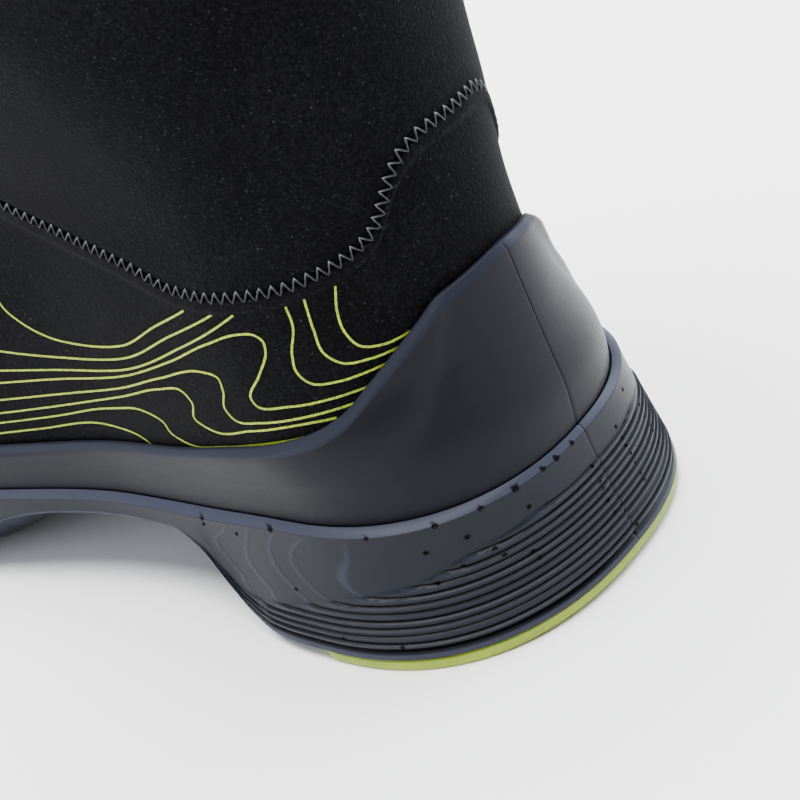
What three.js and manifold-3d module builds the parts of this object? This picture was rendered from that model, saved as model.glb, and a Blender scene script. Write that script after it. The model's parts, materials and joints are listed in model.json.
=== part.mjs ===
// A mid-height neoprene deck boot for the left foot, in millimetres.
// +Z is up, the toe points along -Y and the outer (lateral) side of the foot is +X.
// The origin lies on the ground under the middle of the heel.
import * as THREE from "three";
import { mergeVertices } from "three/addons/utils/BufferGeometryUtils.js";
import Module from "manifold-3d";

const wasm = await Module();
wasm.setup();

// ---- driving dimensions -------------------------------------------------------------------

const SOLE_BACK = 37; // ledge of the cup sole behind the heel
const SOLE_FRONT = -258; // ledge of the cup sole at the toe
const HEEL_HALF_WIDTH = 36; // half width of the ledge at the heel
const BALL_HALF_WIDTH = 53; // half width of the ledge at the ball of the foot
const COLLAR_HEIGHT = 258; // top edge of the shaft
const ANKLE_TOP = 138; // seam between the ankle panel and the shaft
const HEEL_FULLNESS = 2.3; // roundness of the heel in plan: 2 is a circle, more is squarer

const SLEEVE_WALL = 4; // neoprene with its bonded lining
const SHELL_WALL = 2.2; // moulded rubber of the counter and the toe cap
const STIFFENER_WALL = 1.2;
const GAP = 0.3; // between pieces that are glued or sewn together
const SHELL_GAP = 0.5; // cement between the neoprene and the rubber shells
const BAND_GAP = 0.75; // between the neoprene and the bands over its seams
const SEAM_GAP = 0.9; // between the butted edges of two panels, in height
const LEDGE_WIDTH = 1.6; // bevelled top edge of the cup sole's wall
const LEDGE_RISE = 1.3;

const PAD_THICKNESS = 3.8; // outsole pads
const RIM_HEIGHT = 1.6; // the cup sole's wall stops this far above the ground
const GROOVE = { width: 1.6, depth: 2, pitch: 11 };
const PAD_INSET = 2.8; // from the foot of the wall to the seat of a pad
const PAD_LIP = { out: 2.3, thickness: 1 }; // edge of the heel pad that shows below the wall
const PAD_CORNER = 14; // rounding of the pads' straight ends

const BOARD_THICKNESS = 1.8;
const FOOTBED_THICKNESS = 5;
const COVER_THICKNESS = 0.8;
const SHANK = { width: 16, thickness: 1.5 };
const HEEL_CORE = { halfWidth: HEEL_HALF_WIDTH - 14, bottom: 8 };
const KEEL_INSET = 9; // from the wall to the thick middle of the arch

const SEAM_TAPE = { halfWidth: 6, thickness: 0.5 };
const STITCH_BAND = { halfWidth: 2, thickness: 0.5 };
const BINDING = { depth: 10, thickness: 1 };
const LOOP = { width: 20, height: 34, bulge: 10, webbing: 1.6 };
const PATCH = { width: 26, height: 30, thickness: 1.4 };

const AROUND = 60; // steps round each closed band
const SHELL_ROWS = 7; // rows up the counter, and from there up to the ankle seam
const DEG = Math.PI / 180;

// ---- smooth curves through a few points ---------------------------------------------------

/** A curve through [place, value] points that never overshoots them; level ends where asked. */
function through(points, level = false) {
  const p = [...points].sort((a, b) => a[0] - b[0]);
  const slope = p.slice(1).map((q, i) => (q[1] - p[i][1]) / (q[0] - p[i][0]));
  const tangent = p.map((_, i) => {
    if (i === 0) return level ? 0 : slope[0];
    if (i === p.length - 1) return level ? 0 : slope[i - 1];
    const product = slope[i - 1] * slope[i];
    return product <= 0 ? 0 : (2 * product) / (slope[i - 1] + slope[i]);
  });
  return (at) => {
    if (at <= p[0][0]) return p[0][1];
    if (at >= p[p.length - 1][0]) return p[p.length - 1][1];
    const i = p.findIndex((q) => q[0] > at) - 1;
    const h = p[i + 1][0] - p[i][0];
    const t = (at - p[i][0]) / h;
    const t2 = t * t;
    const t3 = t2 * t;
    return (
      p[i][1] * (2 * t3 - 3 * t2 + 1) +
      tangent[i] * h * (t3 - 2 * t2 + t) +
      p[i + 1][1] * (3 * t2 - 2 * t3) +
      tangent[i + 1] * h * (t3 - t2)
    );
  };
}

const smoothstep = (a, b, x) => {
  const t = Math.min(1, Math.max(0, (x - a) / (b - a)));
  return t * t * (3 - 2 * t);
};

/** How far a round end has widened at a distance from its tip: 0 at the tip, 1 past its radius. */
const roundEnd = (distance, radius, power = 2.05) =>
  Math.max(0, 1 - Math.max(0, 1 - distance / radius) ** power) ** (1 / power);

// ---- the foot in plan and in profile ------------------------------------------------------

const SOLE_LENGTH = SOLE_BACK - SOLE_FRONT;
/** A place along the sole, from 0 behind the heel to 1 at the toe. */
const along = (share) => SOLE_BACK - share * SOLE_LENGTH;

const lateralHalfWidth = through([
  [along(0), HEEL_HALF_WIDTH],
  [along(0.13), HEEL_HALF_WIDTH + 0.5],
  [along(0.28), HEEL_HALF_WIDTH - 1.5],
  [along(0.45), BALL_HALF_WIDTH - 10],
  [along(0.62), BALL_HALF_WIDTH],
  [along(0.76), BALL_HALF_WIDTH + 1],
  [along(0.89), BALL_HALF_WIDTH - 4],
  [along(1), BALL_HALF_WIDTH - 13],
]);
const medialHalfWidth = through([
  [along(0), HEEL_HALF_WIDTH - 1.3],
  [along(0.13), HEEL_HALF_WIDTH - 1.8],
  [along(0.28), HEEL_HALF_WIDTH - 7],
  [along(0.43), HEEL_HALF_WIDTH - 5.5],
  [along(0.6), BALL_HALF_WIDTH - 8],
  [along(0.74), BALL_HALF_WIDTH - 4],
  [along(0.86), BALL_HALF_WIDTH - 6],
  [along(1), BALL_HALF_WIDTH - 13],
]);
const TOE_LEAN = 6; // the toes point this far inwards
const axisShift = (y) => -TOE_LEAN * smoothstep(along(0.45), along(1), y);

/** Height of the cup sole's ledge, of its floor and of its underside along the foot. */
const ledgeHeight = through([
  [along(0), 26],
  [along(0.13), 25],
  [along(0.21), 22.7],
  [along(0.28), 21.2],
  [along(0.45), 20],
  [along(0.74), 20.5],
  [along(0.91), 24],
  [along(1), 28],
]);
const floorHeight = through([
  [along(0), 17.6],
  [along(0.2), 17.6],
  [along(0.3), 17.4],
  [along(0.42), 13.6],
  [along(0.57), 9.4],
  [along(0.8), 9.4],
  [along(0.93), 13],
  [along(1), 17],
]);
const rimHeight = through([
  [along(-0.015), RIM_HEIGHT + 0.8],
  [along(0.06), RIM_HEIGHT],
  [along(0.172), RIM_HEIGHT],
  [along(0.191), 5],
  [along(0.202), 9.5],
  [along(0.215), 16],
  [along(0.235), 18.8],
  [along(0.28), 18.6],
  [along(0.36), 17.4],
  [along(0.44), 12],
  [along(0.51), 3],
  [along(0.54), RIM_HEIGHT],
  [along(0.84), RIM_HEIGHT],
  [along(0.93), 4.6],
  [along(1), 11.5],
]);
/** Height of the thick middle of the sole, inside the rim. */
const keelHeight = through([
  [along(-0.015), RIM_HEIGHT + 0.8],
  [along(0.06), RIM_HEIGHT],
  [along(0.17), RIM_HEIGHT],
  [along(0.22), 11],
  [along(0.28), 13.8],
  [along(0.36), 12],
  [along(0.46), RIM_HEIGHT + 1],
  [along(0.51), RIM_HEIGHT],
  [along(0.84), RIM_HEIGHT],
  [along(0.93), 4.6],
  [along(1), 11.5],
]);
const wallFlare = through([
  [along(0), 4.3],
  [along(0.15), 4.1],
  [along(0.2), 2.4],
  [along(0.25), 0.6],
  [along(0.42), 0.6],
  [along(0.6), 2],
  [along(1), 2.4],
]);
/** Underside of the outsole pads: flat, bevelled behind the heel and rising at the toe. */
const treadHeight = through([
  [along(-0.015), 0.8],
  [along(0.04), 0],
  [along(0.84), 0],
  [along(0.93), 3],
  [along(1), 9.9],
]);

/** A closed outline in plan. angle 0 is behind the heel, positive round the lateral side. */
function planPoint(angle, shape) {
  const { back, front, lateral, medial, backRadius, frontRadius, power } = shape;
  const heelPower = shape.heelPower ?? power;
  const y = back - ((back - front) * (1 - Math.cos(angle))) / 2;
  const width = Math.sin(angle) >= 0 ? lateral(y) : medial(y);
  const ends = roundEnd(back - y, backRadius, heelPower) * roundEnd(y - front, frontRadius, power);
  return { x: axisShift(y) + Math.sign(Math.sin(angle)) * width * ends, y };
}

const soleOutline = (angle, offset) =>
  planPoint(angle, {
    back: SOLE_BACK + offset,
    front: SOLE_FRONT - offset,
    lateral: (y) => lateralHalfWidth(y) + offset,
    medial: (y) => medialHalfWidth(y) + offset,
    backRadius: HEEL_HALF_WIDTH + offset,
    frontRadius: 56 + offset,
    heelPower: HEEL_FULLNESS,
  });

// ---- outer surface of the neoprene --------------------------------------------------------

const SKIN_INSET = LEDGE_WIDTH + GAP + SHELL_WALL + SHELL_GAP; // from the ledge to the neoprene

/** Profiles of the leg and foot against height. */
const skinBack = through([
  [8, SOLE_BACK - SKIN_INSET - 0.6],
  [26, SOLE_BACK - SKIN_INSET + 0.6],
  [34, SOLE_BACK - SKIN_INSET + 0.9],
  [42, SOLE_BACK - SKIN_INSET],
  [50, SOLE_BACK - SKIN_INSET - 0.9],
  [65, SOLE_BACK - SKIN_INSET - 1.6],
  [80, SOLE_BACK - SKIN_INSET - 1.7],
  [97, SOLE_BACK - SKIN_INSET - 2.9],
  [112, SOLE_BACK - SKIN_INSET - 3.2],
  [ANKLE_TOP, SOLE_BACK - SKIN_INSET - 1.8],
  [170, SOLE_BACK - SKIN_INSET + 1.4],
  [210, SOLE_BACK - SKIN_INSET + 6],
  [COLLAR_HEIGHT, SOLE_BACK - SKIN_INSET + 10],
]);
const skinFront = through([
  [8, SOLE_FRONT + SKIN_INSET + 3],
  [20, SOLE_FRONT + SKIN_INSET + 1],
  [32, SOLE_FRONT + SKIN_INSET + 1.5],
  [42, SOLE_FRONT + SKIN_INSET + 7],
  [50, SOLE_FRONT + SKIN_INSET + 18],
  [58, SOLE_FRONT + SKIN_INSET + 40],
  [66, SOLE_FRONT + SKIN_INSET + 67],
  [76, -156],
  [88, -128],
  [100, -105],
  [112, -88],
  [125, -76],
  [ANKLE_TOP, -69],
  [160, -65],
  [200, -65],
  [COLLAR_HEIGHT, -69],
]);
const skinBulge = through([
  [8, -1.5],
  [18, -0.4],
  [26, 0],
  [45, 2],
  [60, 1.5],
  [80, -0.5],
]);
/** How far the inner side is drawn in above the sole. */
const medialWaist = through([
  [30, 0],
  [40, 1.6],
  [52, 3],
  [66, 3],
  [85, 1],
  [100, 0],
]);
const legHalfWidth = through([
  [60, HEEL_HALF_WIDTH - 2],
  [80, HEEL_HALF_WIDTH - 2],
  [100, HEEL_HALF_WIDTH + 1.5],
  [120, HEEL_HALF_WIDTH + 4.5],
  [ANKLE_TOP, HEEL_HALF_WIDTH + 6.5],
  [170, HEEL_HALF_WIDTH + 9],
  [210, HEEL_HALF_WIDTH + 12],
  [COLLAR_HEIGHT, HEEL_HALF_WIDTH + 14],
]);
/** Roundness of the heel in plan, which is sharper half way up the counter. */
const skinFullness = through([
  [8, HEEL_FULLNESS],
  [28, HEEL_FULLNESS],
  [50, 1.9],
  [75, 1.95],
  [100, 2.05],
]);
const skinBackRadius = through([
  [8, HEEL_HALF_WIDTH - 3],
  [50, HEEL_HALF_WIDTH - 1],
  [80, HEEL_HALF_WIDTH],
  [100, HEEL_HALF_WIDTH + 6],
  [ANKLE_TOP, 49.5],
  [COLLAR_HEIGHT, 55],
]);
const skinFrontRadius = through([
  [8, 50],
  [26, 54],
  [38, 72],
  [48, 108],
  [58, 135],
  [70, 138],
  [85, 112],
  [100, 80],
  [115, 60],
  [ANKLE_TOP, 49.5],
  [COLLAR_HEIGHT, 55],
]);

/** A point on the outer face of the neoprene at a height and an angle round the leg. */
function skin(angle, z) {
  const leg = smoothstep(62, 115, z);
  const halfWidth = (foot, waist) => (y) =>
    (foot(y) - SKIN_INSET + skinBulge(z) - waist) * (1 - leg) + legHalfWidth(z) * leg;
  const p = planPoint(angle, {
    back: skinBack(z),
    front: skinFront(z),
    lateral: halfWidth(lateralHalfWidth, 0),
    medial: halfWidth(medialHalfWidth, medialWaist(z)),
    backRadius: skinBackRadius(z),
    frontRadius: skinFrontRadius(z),
    heelPower: skinFullness(z),
  });
  return new THREE.Vector3(p.x, p.y, z);
}

/** The same point moved outwards, square to the surface. */
function skinOffset(angle, z, offset) {
  const step = 0.01;
  const around = skin(angle + step, z).sub(skin(angle - step, z));
  const up = skin(angle, z + 0.5).sub(skin(angle, z - 0.5));
  return skin(angle, z).addScaledVector(up.cross(around).normalize(), offset);
}

// ---- solids -------------------------------------------------------------------------------

function geometryOf(vertices, triangles) {
  return new THREE.BufferGeometry()
    .setAttribute("position", new THREE.Float32BufferAttribute(vertices.flatMap((v) => v.toArray()), 3))
    .setIndex(triangles.flat());
}

/** Sweeps a closed section round the boot. section(angle) lists its corners as Vector3. */
function sweep(section, from = 0, to = 2 * Math.PI, steps = AROUND) {
  const closed = Math.abs(to - from - 2 * Math.PI) < 1e-6;
  const rings = Array.from({ length: closed ? steps : steps + 1 }, (_, i) =>
    section(from + ((to - from) * i) / steps),
  );
  const corners = rings[0].length;
  const triangles = [];
  for (let i = 0; i < steps; i++) {
    const next = (i + 1) % rings.length;
    for (let j = 0; j < corners; j++) {
      const k = (j + 1) % corners;
      const [a, b, c, d] = [i * corners + j, next * corners + j, next * corners + k, i * corners + k];
      triangles.push([a, c, b], [a, d, c]);
    }
  }
  if (!closed) {
    const last = (rings.length - 1) * corners;
    for (let j = 0; j < corners / 2 - 1; j++) {
      const [p, q, r, s] = [j, j + 1, corners - 2 - j, corners - 1 - j];
      triangles.push([p, r, q], [p, s, r]);
      triangles.push([last + p, last + q, last + r], [last + p, last + r, last + s]);
    }
  }
  return geometryOf(rings.flat(), triangles);
}

/** Heights in equal steps through a list of stops. */
const climb = (stops, rows) =>
  stops.slice(1).flatMap((stop, i) =>
    Array.from({ length: rows + (i ? 0 : 1) }, (_, j) => {
      const t = (j + (i ? 1 : 0)) / rows;
      return stops[i] + (stop - stops[i]) * t;
    }),
  );

/** Section of a sheet that lies on the neoprene through stops in height: outer, then inner face. */
function sheetSection(angle, stops, inner, outer, rows) {
  const heights = climb(stops, rows);
  return [
    ...heights.map((z) => skinOffset(angle, z, outer)),
    ...heights.reverse().map((z) => skinOffset(angle, z, inner)),
  ];
}

/** A ring for plate(): an outline in plan, at heights that follow the foot. */
const ring = (outline, height) => (angle) => {
  const { x, y } = outline(angle);
  return new THREE.Vector3(x, y, height(y));
};

/** A solid through rings of points, from its bottom ring to its top ring, closed by flat spans. */
function plate(rings, steps = AROUND) {
  const half = steps / 2;
  const vertices = rings.flatMap((at) =>
    Array.from({ length: steps }, (_, i) => at((2 * Math.PI * i) / steps)),
  );
  const triangles = [];
  for (let r = 0; r + 1 < rings.length; r++)
    for (let i = 0; i < steps; i++) {
      const [a, b] = [r * steps + i, r * steps + ((i + 1) % steps)];
      triangles.push([a, b + steps, b], [a, a + steps, b + steps]);
    }
  const top = (rings.length - 1) * steps;
  for (let i = 0; i < half; i++) {
    const [l0, l1] = [i, i + 1];
    const [m0, m1] = [(steps - i) % steps, steps - i - 1];
    if (i > 0) {
      triangles.push([l0, l1, m0]);
      triangles.push([top + l0, top + m0, top + l1]);
    }
    if (i < half - 1) {
      triangles.push([l1, m1, m0]);
      triangles.push([top + l1, top + m0, top + m1]);
    }
  }
  return geometryOf(vertices, triangles);
}

function solidOf(geometry) {
  const bare = geometry.clone();
  for (const name of Object.keys(bare.attributes)) if (name !== "position") bare.deleteAttribute(name);
  const merged = mergeVertices(bare, 1e-4);
  return new wasm.Manifold(
    new wasm.Mesh({
      numProp: 3,
      vertProperties: new Float32Array(merged.attributes.position.array),
      triVerts: new Uint32Array(merged.index.array),
    }),
  );
}

function geometryFrom(solid) {
  const made = solid.getMesh();
  return new THREE.BufferGeometry()
    .setAttribute("position", new THREE.Float32BufferAttribute(made.vertProperties, 3))
    .setIndex([...made.triVerts]);
}

const cut = (geometry, ...tools) =>
  geometryFrom(tools.reduce((solid, tool) => solid.subtract(solidOf(tool)), solidOf(geometry)));

// ---- finishes -----------------------------------------------------------------------------

const finish = (color, roughness) => new THREE.MeshStandardMaterial({ color, roughness, metalness: 0 });
const limeRubber = finish(0xa9bf3c, 0.55);
const soleRubber = finish(0x33343a, 0.5);
const shellRubber = finish(0x3a3b42, 0.42);
const neoprene = finish(0x101014, 0.9);
const foam = finish(0x2b2c30, 0.85);
const board = finish(0x8b8577, 0.9);
const nylon = finish(0x1d1d20, 0.5);
const cloth = finish(0x45484e, 0.95);
const tape = finish(0x18181b, 0.7);
const thread = finish(0x4b4b55, 0.8);
const webbing = finish(0x15151a, 0.85);

const boot = new THREE.Group();

function add(name, geometry, material) {
  const mesh = new THREE.Mesh(geometry, material);
  mesh.name = name;
  boot.add(mesh);
}

// ---- outsole pads -------------------------------------------------------------------------

/** A pad runs between two places along the foot, and is straight across at the arch. */
const HEEL_PAD = { back: SOLE_BACK + wallFlare(SOLE_BACK) - PAD_INSET, front: along(0.163) };
const FOREFOOT_PAD = { back: along(0.478), front: SOLE_FRONT + 6 };
const padWidth = (halfWidth, grow) => (y) => halfWidth(y) + wallFlare(y) - PAD_INSET + grow;
const padOutline = (pad, backRadius, frontRadius, heelPower) => (grow) => (angle) =>
  planPoint(angle, {
    back: pad.back + grow,
    front: pad.front - grow,
    lateral: padWidth(lateralHalfWidth, grow),
    medial: padWidth(medialHalfWidth, grow),
    backRadius: backRadius + grow,
    frontRadius: frontRadius + grow,
    power: 2.3,
    heelPower,
  });
const heelPadOutline = padOutline(HEEL_PAD, HEEL_HALF_WIDTH, PAD_CORNER, HEEL_FULLNESS);
const forefootPadOutline = padOutline(FOREFOOT_PAD, PAD_CORNER, 52, 2.3);

const padPocket = (outline) =>
  plate([
    ring(outline(GAP), (y) => treadHeight(y) - 4),
    ring(outline(GAP), (y) => treadHeight(y) + PAD_THICKNESS + GAP),
  ]);

/** Siping: parallel grooves across the foot that stop short of the pad's edge. */
function grooves(from, to, halfWidth) {
  const tools = [];
  const count = Math.floor((from - to) / GROOVE.pitch);
  for (let i = 0; i < count; i++) {
    const y = from - GROOVE.pitch * (i + 0.5);
    const bar = new THREE.BoxGeometry(2 * halfWidth, GROOVE.width, 2 * GROOVE.depth);
    bar.translate(axisShift(y), y, treadHeight(y));
    tools.push(bar);
  }
  return tools;
}

const forefootPad = plate([
  ring(forefootPadOutline(0), treadHeight),
  ring(forefootPadOutline(0), (y) => treadHeight(y) + PAD_THICKNESS),
]);
const heelPad = plate([
  ring(heelPadOutline(PAD_LIP.out), treadHeight),
  ring(heelPadOutline(PAD_LIP.out), (y) => treadHeight(y) + PAD_LIP.thickness),
  ring(heelPadOutline(0), (y) => treadHeight(y) + PAD_LIP.thickness + 0.2),
  ring(heelPadOutline(0), (y) => treadHeight(y) + PAD_THICKNESS),
]);
const heelGrooves = grooves(3 * GROOVE.pitch, HEEL_PAD.front, HEEL_HALF_WIDTH - 12);
add("heel_outsole_pad", cut(heelPad, ...heelGrooves), limeRubber);
const forefootGrooves = grooves(FOREFOOT_PAD.back, FOREFOOT_PAD.front + 20, HEEL_HALF_WIDTH - 6);
add("forefoot_outsole_pad", cut(forefootPad, ...forefootGrooves), limeRubber);

// ---- cup sole with its filling ------------------------------------------------------------

/** A strip along the middle of the foot whose faces follow the floor of the cup sole. */
function floorStrip({ back, front, halfWidth }, low, high, corner = 8) {
  const at = (angle) =>
    planPoint(angle, {
      back,
      front,
      lateral: () => halfWidth,
      medial: () => halfWidth,
      backRadius: corner,
      frontRadius: corner,
      power: 2.3,
    });
  return plate([ring(at, low), ring(at, high)], 32);
}
const grown = (strip, by) => ({
  back: strip.back + by,
  front: strip.front - by,
  halfWidth: strip.halfWidth + by,
});
const shankStrip = { back: along(0.207), front: along(0.478), halfWidth: SHANK.width / 2 };
const coreStrip = { back: along(0.044), front: along(0.186), halfWidth: HEEL_CORE.halfWidth };

const CUP_FIT = SHELL_GAP + SHELL_WALL + GAP; // inner face of the cup's wall, out from the neoprene
const flaredOutline = (angle) => soleOutline(angle, wallFlare(soleOutline(angle, 0).y));
const cupInside = (height) => (angle) => skinOffset(angle, height(soleOutline(angle, 0).y), CUP_FIT);
const cupBody = plate([
  ring((a) => soleOutline(a, -KEEL_INSET), keelHeight),
  ring(flaredOutline, rimHeight),
  ring((a) => soleOutline(a, 0), ledgeHeight),
  cupInside((y) => ledgeHeight(y) + LEDGE_RISE),
  cupInside((y) => (ledgeHeight(y) + floorHeight(y)) / 2),
  cupInside(floorHeight),
]);
add(
  "cup_sole",
  cut(
    cupBody,
    padPocket(heelPadOutline),
    padPocket(forefootPadOutline),
    floorStrip(grown(coreStrip, GAP), () => HEEL_CORE.bottom - GAP, (y) => floorHeight(y) + 2),
    floorStrip(
      grown(shankStrip, GAP),
      (y) => floorHeight(y) - SHANK.thickness - 2 * GAP,
      (y) => floorHeight(y) + 2,
    ),
  ),
  soleRubber,
);
add(
  "heel_foam_core",
  floorStrip(coreStrip, () => HEEL_CORE.bottom, (y) => floorHeight(y)),
  foam,
);
add(
  "shank",
  floorStrip(
    shankStrip,
    (y) => floorHeight(y) - SHANK.thickness - GAP,
    (y) => floorHeight(y) - GAP,
  ),
  nylon,
);

// ---- layers under the foot ----------------------------------------------------------------

const LAYER_INSET = SKIN_INSET + SLEEVE_WALL + GAP + STIFFENER_WALL + 2.4;
const layerOutline = (angle) => soleOutline(angle, -LAYER_INSET);
const layer = (low, thickness) =>
  plate([
    ring(layerOutline, (y) => floorHeight(y) + low),
    ring(layerOutline, (y) => floorHeight(y) + low + thickness),
  ]);
const BOARD_LOW = GAP + 0.25; // the board rests on the cement over the floor
const FOOTBED_LOW = BOARD_LOW + BOARD_THICKNESS + GAP;
const COVER_LOW = FOOTBED_LOW + FOOTBED_THICKNESS + GAP;
add("lasting_board", layer(BOARD_LOW, BOARD_THICKNESS), board);
add("footbed", layer(FOOTBED_LOW, FOOTBED_THICKNESS), foam);
add("footbed_cover", layer(COVER_LOW, COVER_THICKNESS), cloth);

// ---- edges of the panels, as heights against the angle round the boot ---------------------

/** The same curve on both sides of the boot. */
const mirrored = (points) => {
  const curve = through(points, true);
  return (angle) => {
    const turn = Math.abs(Math.atan2(Math.sin(angle), Math.cos(angle))) / DEG;
    return curve(turn);
  };
};
const ankleSeam = mirrored([
  [0, 85.8],
  [7, 85.8],
  [12.5, 84.6],
  [16, 82.2],
  [18.7, 78.4],
  [21, 74.9],
  [25, 72.4],
  [30, 70.8],
  [37, 69.6],
  [45, 69.4],
  [52, 70.2],
  [60, 73.4],
  [80, 81],
  [100, 89],
  [180, 100],
]);
const shellTop = mirrored([
  [0, 62.4],
  [11.5, 61],
  [14, 60.4],
  [17, 58.2],
  [20.5, 55.3],
  [25, 51],
  [29, 46.9],
  [33, 44.6],
  [37, 43.2],
  [46, 40.1],
  [55, 36.4],
  [62, 34.4],
  [75, 31.5],
  [100, 29.5],
  [118, 30.5],
  [135, 36],
  [155, 46],
  [180, 52],
]);
const STEP = 2 * Math.PI / AROUND;
const SHELL_JOINT = 17 * STEP; // where the counter meets the toe cap
const ankleTop = () => ANKLE_TOP;
const lowEdge = (angle) => floorHeight(soleOutline(angle, 0).y) + GAP + 0.1;

// ---- upper --------------------------------------------------------------------------------

const neopreneBand = (rows, ...edges) =>
  sweep((a) => sheetSection(a, edges.map((edge) => edge(a)), -SLEEVE_WALL, 0, rows));
const below = (edge) => (a) => edge(a) - SEAM_GAP / 2;
const above = (edge) => (a) => edge(a) + SEAM_GAP / 2;

add("foot_sleeve", neopreneBand(SHELL_ROWS, lowEdge, shellTop, below(ankleSeam)), neoprene);
add("ankle_panel", neopreneBand(6, above(ankleSeam), below(ankleTop)), neoprene);
const SLEEVE_TOP = COLLAR_HEIGHT - GAP - BINDING.thickness;
add("shaft_sleeve", neopreneBand(7, above(ankleTop), () => SLEEVE_TOP), neoprene);

// ---- stiffeners, counter and toe cap ------------------------------------------------------

function shell(from, to, low, high, inner, outer, rows) {
  const steps = Math.round((to - from) / STEP);
  return sweep((a) => sheetSection(a, [low(a), high(a)], inner, outer, rows), from, to, steps);
}
const stiffenerInner = -SLEEVE_WALL - GAP - STIFFENER_WALL;
const HEEL_STIFFENER = { reach: 8 * STEP, top: 58 };
const TOE_STIFFENER = { reach: 6 * STEP, top: 46 };
add(
  "heel_stiffener",
  shell(-HEEL_STIFFENER.reach, HEEL_STIFFENER.reach, lowEdge,
    (a) => HEEL_STIFFENER.top - 18 * (a / HEEL_STIFFENER.reach) ** 2,
    stiffenerInner, -SLEEVE_WALL - GAP, 5),
  nylon,
);
add(
  "toe_stiffener",
  shell(Math.PI - TOE_STIFFENER.reach, Math.PI + TOE_STIFFENER.reach, lowEdge,
    (a) => TOE_STIFFENER.top - 10 * ((a - Math.PI) / TOE_STIFFENER.reach) ** 2,
    stiffenerInner, -SLEEVE_WALL - GAP, 5),
  nylon,
);
const JOINT_GAP = 0.15 * DEG;
add(
  "heel_counter",
  shell(-SHELL_JOINT + JOINT_GAP, SHELL_JOINT - JOINT_GAP, lowEdge, shellTop,
    SHELL_GAP, SHELL_GAP + SHELL_WALL, SHELL_ROWS),
  shellRubber,
);
add(
  "toe_cap",
  shell(SHELL_JOINT + JOINT_GAP, 2 * Math.PI - SHELL_JOINT - JOINT_GAP, lowEdge, shellTop,
    SHELL_GAP, SHELL_GAP + SHELL_WALL, SHELL_ROWS),
  shellRubber,
);

// ---- seams --------------------------------------------------------------------------------

/** A thin band that follows a seam. */
const seamBand = (seam, { halfWidth, thickness }, inner) =>
  sweep((a) => sheetSection(a, [seam(a) - halfWidth, seam(a) + halfWidth], inner, inner + thickness, 5));
const tapeInner = -SLEEVE_WALL - BAND_GAP - SEAM_TAPE.thickness;
add("ankle_seam_tape", seamBand(ankleSeam, SEAM_TAPE, tapeInner), tape);
add("shaft_seam_tape", seamBand(ankleTop, SEAM_TAPE, tapeInner), tape);
add("ankle_seam_stitching", seamBand(ankleSeam, STITCH_BAND, BAND_GAP), thread);
add("shaft_seam_stitching", seamBand(ankleTop, STITCH_BAND, BAND_GAP), thread);

// ---- collar binding -----------------------------------------------------------------------

add(
  "collar_binding",
  sweep((a) => {
    const out = GAP + BINDING.thickness;
    const low = COLLAR_HEIGHT - BINDING.depth;
    return [
      [out, low],
      [out, COLLAR_HEIGHT],
      [-SLEEVE_WALL - out, COLLAR_HEIGHT],
      [-SLEEVE_WALL - out, low],
      [-SLEEVE_WALL - GAP, low],
      [-SLEEVE_WALL - GAP, SLEEVE_TOP + GAP],
      [GAP, SLEEVE_TOP + GAP],
      [GAP, low],
    ].map(([offset, z]) => skinOffset(a, z, offset));
  }),
  tape,
);

// ---- pull loops ---------------------------------------------------------------------------

/** A patch that holds the ends of a webbing loop. side is +1 behind the leg and -1 in front. */
function loopPatch(side) {
  const middle = side > 0 ? 0 : Math.PI;
  const reach = Math.asin(PATCH.width / 2 / (HEEL_HALF_WIDTH + 14));
  const high = COLLAR_HEIGHT - BINDING.depth - GAP - 2;
  return shell(middle - reach, middle + reach, () => high - PATCH.height, () => high,
    GAP, GAP + PATCH.thickness, 3);
}

/** Where a loop leaves its patch: the hinge line of the loop. */
const loopRoot = (side) => {
  const clear = GAP + BINDING.thickness + GAP;
  const face = side > 0 ? skinBack(COLLAR_HEIGHT) + clear : skinFront(COLLAR_HEIGHT) - clear;
  return { y: face + (side * LOOP.webbing) / 2, z: COLLAR_HEIGHT - BINDING.depth };
};

/** A standing loop of webbing, wide enough for two fingers. */
function pullLoop(side) {
  const root = loopRoot(side);
  const outline = (inset) => {
    const low = inset + 0.2;
    const high = LOOP.height - inset;
    const near = inset - LOOP.webbing / 2;
    const far = LOOP.bulge - inset;
    const radius = (far - near) / 2;
    const path = new THREE.Path();
    path.moveTo(near, low);
    path.lineTo(far - radius, low);
    path.quadraticCurveTo(far, low + radius, far, high - radius);
    path.absarc(near + radius, high - radius, radius, 0, Math.PI, false);
    path.lineTo(near, low);
    return path;
  };
  const shape = new THREE.Shape(outline(0).getPoints(8));
  shape.holes.push(new THREE.Path(outline(LOOP.webbing).getPoints(8)));
  const geometry = new THREE.ExtrudeGeometry(shape, {
    depth: LOOP.width,
    bevelEnabled: false,
    curveSegments: 8,
  });
  geometry.translate(0, 0, -LOOP.width / 2);
  geometry.rotateX(Math.PI / 2);
  geometry.rotateZ((side * Math.PI) / 2);
  geometry.translate(0, root.y, root.z);
  return geometry;
}

for (const [name, side] of [["rear", 1], ["front", -1]]) {
  add(`${name}_loop_patch`, loopPatch(side), webbing);
  add(`${name}_pull_loop`, pullLoop(side), webbing);
}

export default boot;
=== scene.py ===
"""Visual model of a mid-height deck boot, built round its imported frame."""

import json
import logging
import math
from dataclasses import dataclass, field
from enum import Enum
from typing import Callable, Optional, Sequence, Union

import bpy
import numpy as np
from mathutils import Matrix, Vector

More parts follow.
